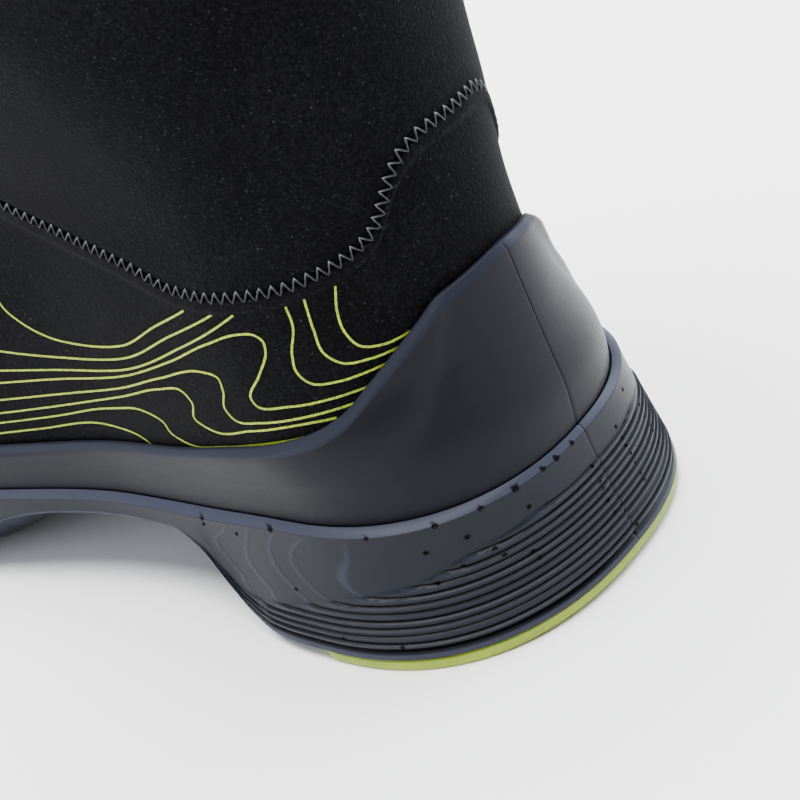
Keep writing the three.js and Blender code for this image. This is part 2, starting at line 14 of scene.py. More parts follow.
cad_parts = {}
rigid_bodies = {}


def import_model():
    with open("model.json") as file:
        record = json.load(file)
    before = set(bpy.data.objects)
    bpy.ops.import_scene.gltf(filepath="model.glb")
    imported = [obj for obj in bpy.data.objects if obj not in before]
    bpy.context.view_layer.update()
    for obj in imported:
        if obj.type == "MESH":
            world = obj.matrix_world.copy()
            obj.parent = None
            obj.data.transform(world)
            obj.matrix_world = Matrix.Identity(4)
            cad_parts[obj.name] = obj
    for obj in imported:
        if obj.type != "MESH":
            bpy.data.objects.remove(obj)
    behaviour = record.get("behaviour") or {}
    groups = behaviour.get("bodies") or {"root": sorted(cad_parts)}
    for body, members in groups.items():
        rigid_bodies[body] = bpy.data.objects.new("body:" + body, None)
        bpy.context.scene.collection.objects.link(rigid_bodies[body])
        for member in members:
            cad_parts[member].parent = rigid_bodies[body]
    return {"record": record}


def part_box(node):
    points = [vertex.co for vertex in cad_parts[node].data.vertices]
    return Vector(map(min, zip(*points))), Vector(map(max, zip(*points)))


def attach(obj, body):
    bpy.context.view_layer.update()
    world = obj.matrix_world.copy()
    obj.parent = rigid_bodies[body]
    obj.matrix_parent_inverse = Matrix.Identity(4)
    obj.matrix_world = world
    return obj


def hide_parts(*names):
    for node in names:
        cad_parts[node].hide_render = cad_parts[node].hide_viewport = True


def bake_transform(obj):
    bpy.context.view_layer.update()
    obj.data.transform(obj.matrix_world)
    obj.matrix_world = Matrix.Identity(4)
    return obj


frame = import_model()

log = logging.getLogger("boot")
MM = 0.001
FULL_TURN = 2 * math.pi
MERGE_DISTANCE = 0.2e-6
Array = np.ndarray
Value = Union[float, Array]
Relief = Callable[[Array, Array, Array], Array]


class Body(str, Enum):
    """The moving bodies of the boot."""

    FOOT = "foot"
    SHAFT = "shaft"
    REAR_LOOP = "rear_loop"
    FRONT_LOOP = "front_loop"


class Slot(str, Enum):
    """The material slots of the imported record."""

    OUTSOLE = "outsole"
    SOLE = "sole"
    SHELL = "shell"
    NEOPRENE = "neoprene"
    FOAM = "foam"
    BOARD = "board"
    NYLON = "nylon"
    LINING = "lining"
    TAPE = "tape"
    THREAD = "thread"
    WEBBING = "webbing"


# ---- shape of the foot ---------------------------------------------------------------------


def hermite(at: Array, value: Array, slope: Array, place: Array) -> Array:
    """A smooth curve through values, with a given slope at each of them.

    Args:
        at: Places of the values.
        value: The values.
        slope: The slopes.
        place: Places that are asked for.

    Returns:
        Values at those places.
    """
    i = np.clip(np.searchsorted(at, place, side="right") - 1, 0, len(at) - 2)
    h = at[i + 1] - at[i]
    t = (place - at[i]) / h
    t2, t3 = t * t, t * t * t
    return (
        value[i] * (2 * t3 - 3 * t2 + 1)
        + slope[i] * h * (t3 - 2 * t2 + t)
        + value[i + 1] * (3 * t2 - 2 * t3)
        + slope[i + 1] * h * (t3 - t2)
    )


class Curve:
    """A smooth curve through a few points that never overshoots them."""

    def __init__(self, *points: tuple[float, float], level: bool = False) -> None:
        """Fits the curve.

        Args:
            points: Pairs of place and value.
            level: Whether the curve runs level at its two ends.
        """
        ordered = sorted(points)
        self.at = np.array([p[0] for p in ordered], float)
        self.value = np.array([p[1] for p in ordered], float)
        slope = np.diff(self.value) / np.diff(self.at)
        self.tangent = np.zeros(len(ordered))
        product = slope[:-1] * slope[1:]
        total = slope[:-1] + slope[1:]
        safe = np.where(product > 0, total, 1.0)
        self.tangent[1:-1] = np.where(product > 0, 2 * product / safe, 0.0)
        if not level:
            self.tangent[0], self.tangent[-1] = slope[0], slope[-1]

    def __call__(self, at: Value) -> Array:
        """Values of the curve at the given places."""
        held = np.clip(np.asarray(at, float), self.at[0], self.at[-1])
        return hermite(self.at, self.value, self.tangent, held)


def smoothstep(low: float, high: float, at: Value) -> Array:
    """A smooth rise from 0 at low to 1 at high."""
    t = np.clip((np.asarray(at, float) - low) / (high - low), 0, 1)
    return t * t * (3 - 2 * t)


def round_end(distance: Value, radius: Value, power: Value = 2.05) -> Array:
    """How far a round end has widened, from 0 at its tip to 1 past its radius."""
    short = np.clip(1 - np.asarray(distance, float) / radius, 0, 1)
    return np.clip(1 - short**power, 0, 1) ** (1 / power)


def bell(distance: Value, width: Value) -> Array:
    """A smooth hump that is 1 at no distance and fades over its width."""
    return np.exp(-((distance / width) ** 2))


def run_along(points: Array) -> Array:
    """Distance from the first of a row of points to each of them."""
    steps = np.linalg.norm(np.diff(points, axis=0), axis=1)
    return np.concatenate([[0], np.cumsum(steps)])


def ring(count: int) -> Array:
    """Angles all round the boot, from the toe by the lateral side."""
    return np.linspace(math.pi, -math.pi, count, endpoint=False)


@dataclass
class BootForm:
    """The surfaces that every piece follows, in millimetres, as the frame has them."""

    sole_back: float = 37.0
    sole_front: float = -258.0
    heel: float = 36.0
    ball: float = 53.0
    collar: float = 258.0
    ankle_top: float = 138.0
    wall: float = 4.0
    shell_wall: float = 2.2
    gap: float = 0.3
    cement: float = 0.5
    ledge_width: float = 1.6
    ledge_rise: float = 1.3
    toe_round: float = 56.0
    toe_lean: float = 6.0
    lean_from: float = 0.45
    lean_length: float = 162.0
    heel_fullness: float = 2.3
    half_turn_steps: int = 10000

    def __post_init__(self) -> None:
        """Fits the curves to the sizes."""
        a, heel, ball = self.along, self.heel, self.ball
        self.inset = self.ledge_width + self.gap + self.shell_wall + self.cement
        self.well_offset = self.cement + self.shell_wall + self.gap
        self.lateral = Curve(
            (a(0), heel), (a(0.13), heel + 0.5), (a(0.28), heel - 1.5), (a(0.45), ball - 10),
            (a(0.62), ball), (a(0.76), ball + 1), (a(0.89), ball - 4), (a(1), ball - 13),
        )
        self.medial = Curve(
            (a(0), heel - 1.3), (a(0.13), heel - 1.8), (a(0.28), heel - 7), (a(0.43), heel - 5.5),
            (a(0.6), ball - 8), (a(0.74), ball - 4), (a(0.86), ball - 6), (a(1), ball - 13),
        )
        self.ledge = Curve(
            (a(0), 26), (a(0.13), 25), (a(0.21), 22.7), (a(0.28), 21.2), (a(0.45), 20),
            (a(0.74), 20.5), (a(0.91), 24), (a(1), 28),
        )
        self.floor = Curve(
            (a(0), 17.6), (a(0.2), 17.6), (a(0.3), 17.4), (a(0.42), 13.6), (a(0.57), 9.4),
            (a(0.8), 9.4), (a(0.93), 13), (a(1), 17),
        )
        self.rim = Curve(
            (a(-0.015), 2.9), (a(0.06), 2.2), (a(0.172), 2.2), (a(0.191), 5), (a(0.203), 9.5),
            (a(0.219), 16), (a(0.244), 18.8), (a(0.28), 18.6), (a(0.36), 17.4), (a(0.44), 12),
            (a(0.51), 3), (a(0.54), 1.6), (a(0.84), 1.6), (a(0.93), 4.6), (a(1), 11.5),
        )
        self.keel = Curve(
            (a(-0.015), 2.9), (a(0.06), 2.2), (a(0.17), 2.2), (a(0.22), 11), (a(0.28), 13.8),
            (a(0.36), 12), (a(0.46), 2.6), (a(0.51), 1.6), (a(0.84), 1.6), (a(0.93), 4.6), (a(1), 11.5),
        )
        self.flare = Curve(
            (a(0), 4.3), (a(0.15), 4.1), (a(0.2), 2.4), (a(0.25), 0.6), (a(0.42), 0.6), (a(0.6), 2),
            (a(1), 2.4),
        )
        self.tread = Curve((a(-0.015), 0.8), (a(0.04), 0), (a(0.84), 0), (a(0.93), 3), (a(1), 9.9))
        back, front = self.sole_back - self.inset, self.sole_front + self.inset
        self.back = Curve(
            (8, back - 0.6), (26, back + 0.6), (34, back + 0.9), (42, back), (50, back - 0.9),
            (65, back - 1.6), (80, back - 1.7), (97, back - 2.9), (112, back - 3.2),
            (self.ankle_top, back - 1.8),
            (170, back + 1.4), (210, back + 6), (self.collar, back + 10),
        )
        self.front = Curve(
            (8, front + 3), (20, front + 1), (32, front + 1.5), (42, front + 7), (50, front + 18),
            (58, front + 40), (66, front + 67), (76, -156), (88, -128), (100, -105), (112, -88),
            (125, -76), (self.ankle_top, -69), (160, -65), (200, -65), (self.collar, -69),
        )
        self.bulge = Curve((8, -1.5), (18, -0.4), (26, 0), (45, 2), (60, 1.5), (80, -0.5))
        self.waist = Curve((30, 0), (40, 2.4), (52, 4), (66, 4), (85, 1.2), (100, 0))
        self.leg = Curve(
            (60, heel - 2), (80, heel - 2), (100, heel + 1.5), (120, heel + 4.5),
            (self.ankle_top, heel + 6.5), (170, heel + 9), (210, heel + 12), (self.collar, heel + 14),
        )
        self.back_radius = Curve(
            (8, heel - 3), (50, heel - 1), (80, heel), (100, heel + 6), (self.ankle_top, 49.5),
            (self.collar, 55),
        )
        self.fullness = Curve(
            (8, self.heel_fullness), (28, self.heel_fullness), (50, 1.9), (75, 1.95), (100, 2.05),
        )
        self.front_radius = Curve(
            (8, 50), (26, 54), (38, 72), (48, 108), (58, 135), (70, 138), (85, 112), (100, 80),
            (115, 60), (self.ankle_top, 49.5), (self.collar, 55),
        )
        self._seam = Curve(
            (0, 85.8), (7, 85.8), (12.5, 84.6), (16, 82.2), (18.7, 78.4), (21, 74.9), (25, 72.4),
            (30, 70.8), (37, 69.6), (45, 69.4), (52, 70.2), (60, 73.4), (80, 81), (100, 89), (180, 100),
            level=True,
        )
        self._shell = Curve(
            (0, 62.4), (11.5, 61), (14, 60.4), (17, 58.2), (20.5, 55.3), (25, 51), (29, 46.9),
            (33, 44.6), (37, 43.2), (46, 40.1), (55, 36.4), (62, 34.4), (75, 31.5), (100, 29.5),
            (118, 30.5), (135, 36), (155, 46), (180, 52),
            level=True,
        )
        turn = np.linspace(-math.pi, math.pi, 2 * self.half_turn_steps + 1)
        run = run_along(self.outline(turn, 0.0))
        self._turn, self._run = turn, run - run[self.half_turn_steps]
        self.half_way = float(self._run[-1])

    def along(self, share: float) -> float:
        """A place along the sole, from 0 behind the heel to 1 at the toe."""
        return self.sole_back - share * (self.sole_back - self.sole_front)

    def angle_at(self, run: Value) -> Array:
        """Angle at a distance round the sole's ledge, from 0 behind the heel."""
        return np.interp(run, self._run, self._turn)

    def run_at(self, angle: Value) -> Array:
        """Distance round the sole's ledge at an angle, from 0 behind the heel."""
        return np.interp(angle, self._turn, self._run)

    def plan(self, angle: Array, back: Value, front: Value, widths: tuple[Value, Value],
             radii: tuple[Value, Value], power: Value = 2.05) -> Array:
        """Points of a closed outline in plan.

        Args:
            angle: Angles, 0 behind the heel and positive round the lateral side.
            back: Rearmost place.
            front: Foremost place.
            widths: Lateral and medial half widths at each angle, or single numbers.
            radii: Roundings of the rear and the front end.
            power: Fullness of the rear end.

        Returns:
            Array of x and y.
        """
        y = self.plan_y(angle, back, front)
        width = np.where(np.sin(angle) >= 0, widths[0], widths[1])
        ends = round_end(back - y, radii[0], power) * round_end(y - front, radii[1])
        lean = (self.along(self.lean_from) - y) / (self.along(self.lean_from) - self.along(1))
        shift = -self.toe_lean * smoothstep(0, 1, lean)
        return np.stack([shift + np.sign(np.sin(angle)) * width * ends, y], axis=-1)

    @staticmethod
    def plan_y(angle: Array, back: Value, front: Value) -> Array:
        """Place along the foot for each angle."""
        return back - (back - front) * (1 - np.cos(angle)) / 2

    def outline(self, angle: Array, offset: Value) -> Array:
        """The ledge's outline in plan.

        Args:
            angle: Angles round the boot.
            offset: Distance outwards.

        Returns:
            Array of x and y.
        """
        back, front = self.sole_back + offset, self.sole_front - offset
        y = self.plan_y(angle, back, front)
        widths = (self.lateral(y) + offset, self.medial(y) + offset)
        radii = (self.heel + offset, self.toe_round + offset)
        return self.plan(angle, back, front, widths, radii, self.heel_fullness)

    def ledge_y(self, angle: Array) -> Array:
        """Place along the foot of the ledge at each angle."""
        return self.outline(angle, 0.0)[..., 1]

    def midline(self, y: Value) -> Array:
        """Sideways place of the sole's middle line."""
        return -self.toe_lean * smoothstep(0, 1, (self.along(self.lean_from) - y) / self.lean_length)

    def middle(self, row: Array) -> Array:
        """A row of points drawn in to the middle line of the sole.

        Args:
            row: Array of points.

        Returns:
            Array of as many points.
        """
        drawn = row.copy()
        drawn[:, 0] = self.midline(row[:, 1])
        return drawn

    def skin(self, angle: Array, height: Value) -> Array:
        """Points on the outer face of the neoprene.

        Args:
            angle: Angles round the boot.
            height: Heights above the ground.

        Returns:
            Array of points.
        """
        angle, z = np.broadcast_arrays(np.asarray(angle, float), np.asarray(height, float))
        back, front = self.back(z), self.front(z)
        y = self.plan_y(angle, back, front)
        leg = smoothstep(62, 115, z)
        widths = tuple(
            (foot(y) - self.inset + self.bulge(z) - waist) * (1 - leg) + self.leg(z) * leg
            for foot, waist in ((self.lateral, 0.0), (self.medial, self.waist(z)))
        )
        radii = (self.back_radius(z), self.front_radius(z))
        flat = self.plan(angle, back, front, widths, radii, self.fullness(z))
        return np.concatenate([flat, z[..., None]], axis=-1)

    def surface(self, angle: Array, height: Value, offset: Value = 0.0) -> Array:
        """Points moved out from the neoprene, square to it.

        Args:
            angle: Angles round the boot.
            height: Heights above the ground.
            offset: Distance out from the neoprene's outer face.

        Returns:
            Array of points.
        """
        angle, z, offset = np.broadcast_arrays(
            np.asarray(angle, float), np.asarray(height, float), np.asarray(offset, float)
        )
        around = self.skin(angle + 0.01, z) - self.skin(angle - 0.01, z)
        up = self.skin(angle, z + 0.5) - self.skin(angle, z - 0.5)
        normal = np.cross(up, around)
        normal /= np.linalg.norm(normal, axis=-1, keepdims=True)
        return self.skin(angle, z) + normal * offset[..., None]

    @staticmethod
    def turned(angle: Value) -> Array:
        """Angle from the back of the heel, in degrees, on either side."""
        return np.degrees(np.abs(np.arctan2(np.sin(angle), np.cos(angle))))

    def seam(self, angle: Value) -> Array:
        """Height of the seam round the ankle panel."""
        return self._seam(self.turned(angle))

    def shell_top(self, angle: Value) -> Array:
        """Height of the top edge of the heel counter and the toe cap."""
        return self._shell(self.turned(angle))

    def ankle_line(self, angle: Array) -> Array:
        """Height of the level seam above the ankle panel."""
        return np.full_like(angle, self.ankle_top)

    def low_edge(self, angle: Array) -> Array:
        """Lowest height of the pieces that stand in the cup sole."""
        return self.floor(self.ledge_y(angle)) + self.gap + 0.1


# ---- modelling -----------------------------------------------------------------------------


class Bench:
    """Modelling steps that every piece shares."""

    @staticmethod
    def only(piece: bpy.types.Object) -> None:
        """Selects one object and makes it active.

        Args:
            piece: The object.
        """
        bpy.ops.object.select_all(action="DESELECT")
        piece.select_set(True)
        bpy.context.view_layer.objects.active = piece

    @staticmethod
    def lattice(name: str, points: Array, join_round: bool = False, join_section: bool = False,
                cap: bool = False, marks: Optional[dict[str, Array]] = None) -> bpy.types.Object:
        """A closed or open sheet: a grid shaped to a table of points.

        Args:
            name: Name of the piece.
            points: Array of columns, rows and coordinates in millimetres.
            join_round: Whether the last column meets the first.
            join_section: Whether the last row meets the first.
            cap: Whether open ends are filled.
            marks: Named values for each point, kept with the mesh.

        Returns:
            The new object.
        """
        tables = {"points": points, **(marks or {})}
        if join_round:
            tables = {key: np.concatenate([table, table[:1]]) for key, table in tables.items()}
        if join_section:
            tables = {key: np.concatenate([table, table[:, :1]], axis=1) for key, table in tables.items()}
        points = tables.pop("points")
        columns, rows = points.shape[:2]
        bpy.ops.object.select_all(action="DESELECT")
        bpy.ops.mesh.primitive_grid_add(
            x_subdivisions=columns - 1, y_subdivisions=rows - 1, size=2, calc_uvs=True
        )
        piece = bpy.context.object
        piece.name = piece.data.name = name
        mesh = piece.data
        place = np.empty(len(mesh.vertices) * 3, np.float32)
        mesh.vertices.foreach_get("co", place)
        place = place.reshape(-1, 3)
        i = np.rint((place[:, 0] + 1) / 2 * (columns - 1)).astype(int)
        j = np.rint((place[:, 1] + 1) / 2 * (rows - 1)).astype(int)
        shaped = (points[i, j] * MM).astype(np.float32)
        mesh.vertices.foreach_set("co", shaped.ravel())
        for key, value in tables.items():
            layer = mesh.attributes.new(key, "FLOAT", "POINT")
            layer.data.foreach_set("value", value[i, j].astype(np.float32))
        Bench.measure_uv(mesh, points)
        mesh.update()
        if join_round or join_section or cap:
            bpy.ops.object.mode_set(mode="EDIT")
            bpy.ops.mesh.select_all(action="SELECT")
            bpy.ops.mesh.remove_doubles(threshold=MERGE_DISTANCE)
            if cap:
                bpy.ops.mesh.select_all(action="DESELECT")
                bpy.ops.mesh.select_non_manifold()
                bpy.ops.mesh.fill_holes(sides=0)
            bpy.ops.object.mode_set(mode="OBJECT")
        return piece

    @staticmethod
    def measure_uv(mesh: bpy.types.Mesh, points: Array) -> None:
        """Scales a grid's UV map to metres along its middle row and column.

        Args:
            mesh: The grid's mesh.
            points: The points that it was shaped to.
        """
        middle = points[:, points.shape[1] // 2]
        side = points[points.shape[0] // 2]
        across = np.linalg.norm(np.diff(middle, axis=0), axis=1).sum() * MM
        along = np.linalg.norm(np.diff(side, axis=0), axis=1).sum() * MM
        layer = mesh.uv_layers.active.data
        uv = np.empty(len(layer) * 2, np.float32)
        layer.foreach_get("uv", uv)
        uv = uv.reshape(-1, 2) * np.array([across, along], np.float32)
        layer.foreach_set("uv", uv.ravel())

    @staticmethod
    def apply(piece: bpy.types.Object, kind: str, **settings: object) -> None:
        """Adds a modifier and applies it.

        Args:
            piece: The object that it works on.
            kind: The modifier's type.
            **settings: The modifier's settings.
        """
        Bench.only(piece)
        modifier = piece.modifiers.new(kind.lower(), kind)
        for key, value in settings.items():
            setattr(modifier, key, value)
        bpy.ops.object.modifier_apply(modifier=modifier.name)

    @staticmethod
    def join(name: str, pieces: Sequence[bpy.types.Object]) -> bpy.types.Object:
        """Joins several objects into one.

        Args:
            name: Name of the joined object.
            pieces: The objects.

        Returns:
            The joined object.
        """
        bpy.ops.object.select_all(action="DESELECT")
        for piece in pieces:
            piece.select_set(True)
        bpy.context.view_layer.objects.active = pieces[0]
        if len(pieces) > 1:
            bpy.ops.object.join()
        piece = bpy.context.object
        piece.name = piece.data.name = name
        return piece

    @staticmethod
    def circle(radius: float, sides: int) -> list[tuple[float, float]]:
        """Corners of a round section."""
        turns = [FULL_TURN * k / sides for k in range(sides)]
        return [(radius * math.cos(turn), radius * math.sin(turn)) for turn in turns]

    @staticmethod
    def glide(at: Array, value: Array, place: Array) -> Array:
        """A smooth curve through values, with a free slope at each of them.

        Args:
            at: Places of the values.
            value: The values.
            place: Places that are asked for.

        Returns:
            Values at those places.
        """
        return hermite(at, value, np.gradient(value, at), place)

    @staticmethod
    def strand(name: str, path: Array, out: Array, section: Sequence[tuple[float, float]],
               closed: bool = False, painted_light: Optional[Array] = None) -> bpy.types.Object:
        """A section carried along a path.

        Args:
            name: Name of the piece.
            path: Points in millimetres.
            out: Direction of the section's first axis at each point.
            section: Corners as distances outwards and sideways.
            closed: Whether the path is a loop.
            painted_light: How much painted highlight each point of the path carries.

        Returns:
            The new object.
        """
        ahead = Bench.ahead(path) if closed else np.gradient(path, axis=0)
        ahead = ahead / np.linalg.norm(ahead, axis=1, keepdims=True)
        out = out - ahead * np.sum(out * ahead, axis=1, keepdims=True)
        out = out / np.linalg.norm(out, axis=1, keepdims=True)
        side = np.cross(out, ahead)
        corners = np.array(section)
        points = path[:, None] + out[:, None] * corners[None, :, :1] + side[:, None] * corners[None, :, 1:]
        marks = None if painted_light is None else {"painted_light": np.repeat(painted_light[:, None], len(section), axis=1)}
        return Bench.lattice(name, points, closed, join_section=True, cap=not closed, marks=marks)

    @staticmethod
    def ahead(path: Array) -> Array:
        """Way from the point before to the point after, along a closed path."""
        return np.roll(path, -1, axis=0) - np.roll(path, 1, axis=0)

    @staticmethod
    def carve(piece: bpy.types.Object, cutter: bpy.types.Object) -> None:
        """Cuts one piece with another.

        Args:
            piece: The piece that stays.
            cutter: The object that cuts it, which is used up.
        """
        for part in (piece, cutter):
            Bench.only(part)
            bpy.ops.object.transform_apply(location=True, rotation=True, scale=True)
        Bench.apply(piece, "BOOLEAN", operation="DIFFERENCE", solver="MANIFOLD", object=cutter)
        Bench.only(cutter)
        bpy.ops.object.delete()

    @staticmethod
    def dress(piece: bpy.types.Object, material: bpy.types.Material, slot: Slot,
              replaces: Sequence[str] = (), sharp: float = 50.0) -> None:
        """Shades a finished piece and gives it its finish.

        Args:
            piece: The finished object.
            material: Its finish.
            slot: The record's slot that the finish belongs to; not used.
            replaces: Frame nodes that it stands for.
            sharp: Angle in degrees from which an edge stays sharp.
        """
        Bench.only(piece)
        bpy.ops.object.shade_smooth_by_angle(angle=math.radians(sharp))
        if not piece.data.materials:
            piece.data.materials.append(material)
        else:
            piece.data.materials[0] = material
        if replaces:
            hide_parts(*replaces)

    @staticmethod
    def fit(piece: bpy.types.Object, material: bpy.types.Material, slot: Slot, body: Body,
            replaces: Sequence[str] = (), sharp: float = 50.0) -> None:
        """Dresses a finished piece and seats it on its body.

        Args:
            piece: The finished object.
            material: Its finish.
            slot: The record's slot that the finish belongs to.
            body: The body that carries it.
            replaces: Frame nodes that it stands for.
            sharp: Angle in degrees from which an edge stays sharp.
        """
        Bench.dress(piece, material, slot, replaces, sharp)
        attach(piece, body.value)
        log.info("%s: %d faces on %s", piece.name, len(piece.data.polygons), body.value)


@dataclass
class Stop:
    """A corner of a section: how far out from the neoprene, how high, and how rounded."""

    offset: Value
    height: Value
    rounding: float = 0.0
    rows: int = 1


class Section:
    """A section through a piece that lies on the neoprene, as a row of corners."""

    CORNER_STEPS = 4

    def __init__(self, form: BootForm, angles: Array) -> None:
        """Keeps the form and the angles at which the section is taken."""
        self.form, self.angles = form, angles

    def rows(self, stops: Sequence[Stop]) -> list[tuple[Array, Array]]:
        """Offsets and heights of each row of points round the section.

        Args:
            stops: The corners in order, outer face first; the last one leads back to the first.

        Returns:
            Pairs of offset and height, one for each row.
        """
        size = self.angles.shape
        corners = [
            np.stack([np.broadcast_to(value, size) for value in (s.offset, s.height)], axis=-1).astype(float)
            for s in stops
        ]
        made: list[Array] = []
        for k, stop in enumerate(stops):
            following = (k + 1) % len(stops)
            here, after = corners[k], corners[following]
            leave, arrive = here, after
            if stop.rounding > 0:
                enter = here + self._towards(here, corners[k - 1], stop.rounding)
                leave = here + self._towards(here, after, stop.rounding)
                for step in range(self.CORNER_STEPS):
                    t = step / self.CORNER_STEPS
                    made.append(enter * (1 - t) ** 2 + here * 2 * t * (1 - t) + leave * t * t)
            if stops[following].rounding > 0:
                arrive = after + self._towards(after, here, stops[following].rounding)
            for step in range(stop.rows):
                made.append(leave + (arrive - leave) * (step / stop.rows))
        return [(row[..., 0], row[..., 1]) for row in made]

    @staticmethod
    def _towards(start: Array, end: Array, distance: float) -> Array:
        """Step of a given length from one corner towards another."""
        way = end - start
        return way / np.maximum(np.linalg.norm(way, axis=-1, keepdims=True), 1e-6) * distance

    def points(self, stops: Sequence[Stop], relief: Optional[Relief] = None) -> Array:
        """Points of every row.

        Args:
            stops: The corners in order.
            relief: Extra offset for angles, heights and offsets.

        Returns:
            Array of columns, rows and coordinates.
        """
        table = []
        for offset, height in self.rows(stops):
            if relief is not None:
                offset = offset + relief(self.angles, height, offset)
            table.append(self.form.surface(self.angles, height, offset))
        return np.stack(table, axis=1)


# ---- shaders -------------------------------------------------------------------------------


class Flow:
    """A value in a node tree that takes part in sums."""

    def __init__(self, shader: "Shader", socket: bpy.types.NodeSocket) -> None:
        """Keeps the tree and the socket that gives the value."""
        self.shader, self.socket = shader, socket

    def _math(self, operation: str, *values: object) -> "Flow":
        """Adds one Math node."""
        return self.shader.node("ShaderNodeMath", {"operation": operation}, dict(enumerate(values)))

    def __add__(self, other: object) -> "Flow":
        """Sum."""
        return self._math("ADD", self, other)

    def __sub__(self, other: object) -> "Flow":
        """Difference."""
        return self._math("SUBTRACT", self, other)

    def __mul__(self, other: object) -> "Flow":
        """Product."""
        return self._math("MULTIPLY", self, other)

    def __rsub__(self, other: object) -> "Flow":
        """Difference from a number."""
        return self._math("SUBTRACT", other, self)

    __radd__ = __add__
    __rmul__ = __mul__

    def wave(self) -> "Flow":
        """Sine of the value."""
        return self._math("SINE", self)

    def clamp(self, low: float, high: float) -> "Flow":
        """The value run from low to high, as 0 to 1 and no further."""
        return self.shader.node(
            "ShaderNodeMapRange", {"clamp": True, "interpolation_type": "SMOOTHSTEP"},
            {0: self, 1: low, 2: high, 3: 0.0, 4: 1.0},
        )


class Shader:
    """Builds one material from nodes."""

    def __init__(self, name: str) -> None:
        """Starts a material with an empty Principled shader.

        Args:
            name: The material's name.
        """
        self.material = bpy.data.materials.new(name)
        self.material.use_nodes = True
        self.tree = self.material.node_tree
        self.principled = self.tree.nodes["Principled BSDF"]

    def node(self, kind: str, settings: Optional[dict] = None, inputs: Optional[dict] = None,
             output: Union[int, str] = 0) -> Flow:
        """Adds a node.

        Args:
            kind: The node's type.
            settings: Attributes of the node, set first.
            inputs: Values or links by socket name or index.
            output: Which output is returned.

        Returns:
            The chosen output.
        """
        made = self.tree.nodes.new(kind)
        for key, value in (settings or {}).items():
            setattr(made, key, value)
        for key, value in (inputs or {}).items():
            if isinstance(value, Flow):
                self.tree.links.new(value.socket, made.inputs[key])
            else:
                made.inputs[key].default_value = value
        return Flow(self, made.outputs[output])

    def place(self, output: str = "Object") -> Flow:
        """Coordinates of the surface."""
        return self.node("ShaderNodeTexCoord", output=output)

    def noise(self, scale: float, detail: float = 3.0, rough: float = 0.55) -> Flow:
        """Cloudy noise, with scale in lumps a metre."""
        return self.node(
            "ShaderNodeTexNoise", None,
            {"Vector": self.place(), "Scale": scale, "Detail": detail, "Roughness": rough},
        )

    def cells(self, scale: float) -> Flow:
        """Distance to the nearest of many scattered points."""
        return self.node("ShaderNodeTexVoronoi", None, {"Vector": self.place(), "Scale": scale})

    def painted_light(self) -> Flow:
        """Painted light and shade on the surface, as its mesh is marked."""
        return self.node("ShaderNodeAttribute", {"attribute_name": "painted_light"}, output="Fac")

    def mix(self, factor: object, low: tuple, high: tuple) -> Flow:
        """A colour between two colours."""
        return self.node(
            "ShaderNodeMix", {"data_type": "RGBA"}, {0: factor, 6: low, 7: high}, output=2
        )

    def axis(self, at: Flow, name: str) -> Flow:
        """One coordinate of a vector."""
        return self.node("ShaderNodeSeparateXYZ", None, {0: at}, output=name)

    def bump(self, height: Flow, strength: float, distance: float) -> None:
        """Raises the surface by a height, under the light."""
        made = self.node(
            "ShaderNodeBump", None, {"Height": height, "Strength": strength, "Distance": distance}
        )
        self.tree.links.new(made.socket, self.principled.inputs["Normal"])

    def set(self, **sockets: object) -> None:
        """Sets or links the shader's sockets.

        Args:
            **sockets: Values or links by socket name, with _ for a space.
        """
        for key, value in sockets.items():
            socket = self.principled.inputs[key.replace("_", " ")]
            if isinstance(value, Flow):
                self.tree.links.new(value.socket, socket)
            else:
                socket.default_value = value


def shade(red: float, green: float, blue: float) -> tuple[float, float, float, float]:
    """A colour from screen values of 0 to 255.

    Args:
        red: Red on the screen.
        green: Green on the screen.
        blue: Blue on the screen.

    Returns:
        The colour's light, as red, green, blue and alpha.
    """
    def linear(value: float) -> float:
        """Light of one channel."""
        share = value / 255
        return share / 12.92 if share <= 0.04045 else ((share + 0.055) / 1.055) ** 2.4

    return (linear(red), linear(green), linear(blue), 1.0)


@dataclass(frozen=True)
class MouldedRubber:
    """Moulded rubber: a fine matt skin with faint mottling; when marked, paler under painted highlights and
    darker under painted shade.
    """

    name: str
    dark: tuple
    light: tuple
    roughness: float = 0.45
    grain: float = 0.25
    specular: float = 0.5
    marked: bool = False

    def make(self) -> bpy.types.Material:
        """Builds the material.

        Returns:
            The material.
        """
        s = Shader(self.name)
        cloud = s.noise(55, 4)
        fine = s.noise(900, 3, 0.6)
        speck = s.noise(3200, 2)
        tone = cloud.clamp(0.3, 0.7)
        if self.marked:
            painted_light = s.painted_light()
            # Marked rubber takes its tone mostly from the painted light: painted shade below 0.5, painted
            # highlights above it, plus faint mottling.
            tone = painted_light * painted_light * 0.88 + cloud * 0.08
        s.set(
            Base_Color=s.mix(tone, self.dark, self.light),
            Roughness=self.roughness + 0.12 * fine + 0.08 * cloud - 0.1,
            Specular_IOR_Level=self.specular,
        )
        s.bump(fine * 0.6 + speck * 0.4, self.grain, 0.00012)
        return s.material


@dataclass(frozen=True)
class Jersey:
    """Nylon-faced neoprene: a close knit with a soft nap."""

    name: str
    dark: tuple
    light: tuple
    sheen: float = 0.35
    pitch: float = 0.00055
    flecks: float = 0.0

    def make(self) -> bpy.types.Material:
        """Builds the material.

        Returns:
            The material.
        """
        s = Shader(self.name)
        cloud = s.noise(70, 4)
        nap = s.noise(1500, 4, 0.7)
        knit = s.cells(1 / self.pitch)
        height = (1 - knit) * 0.6 + nap * 0.7
        fleck = s.noise(1900, 3, 0.6).clamp(0.62, 0.78)
        cloth = (nap * 0.8 + cloud * 0.2).clamp(0.42, 0.66)
        s.set(
            Base_Color=s.mix(cloth * (1 - self.flecks) + fleck * self.flecks, self.dark, self.light),
            Roughness=0.86 + 0.1 * nap,
            Specular_IOR_Level=0.05,
            Sheen_Weight=self.sheen,
            Sheen_Roughness=0.55,
        )
        s.bump(height, 0.5, 0.00025)
        return s.material


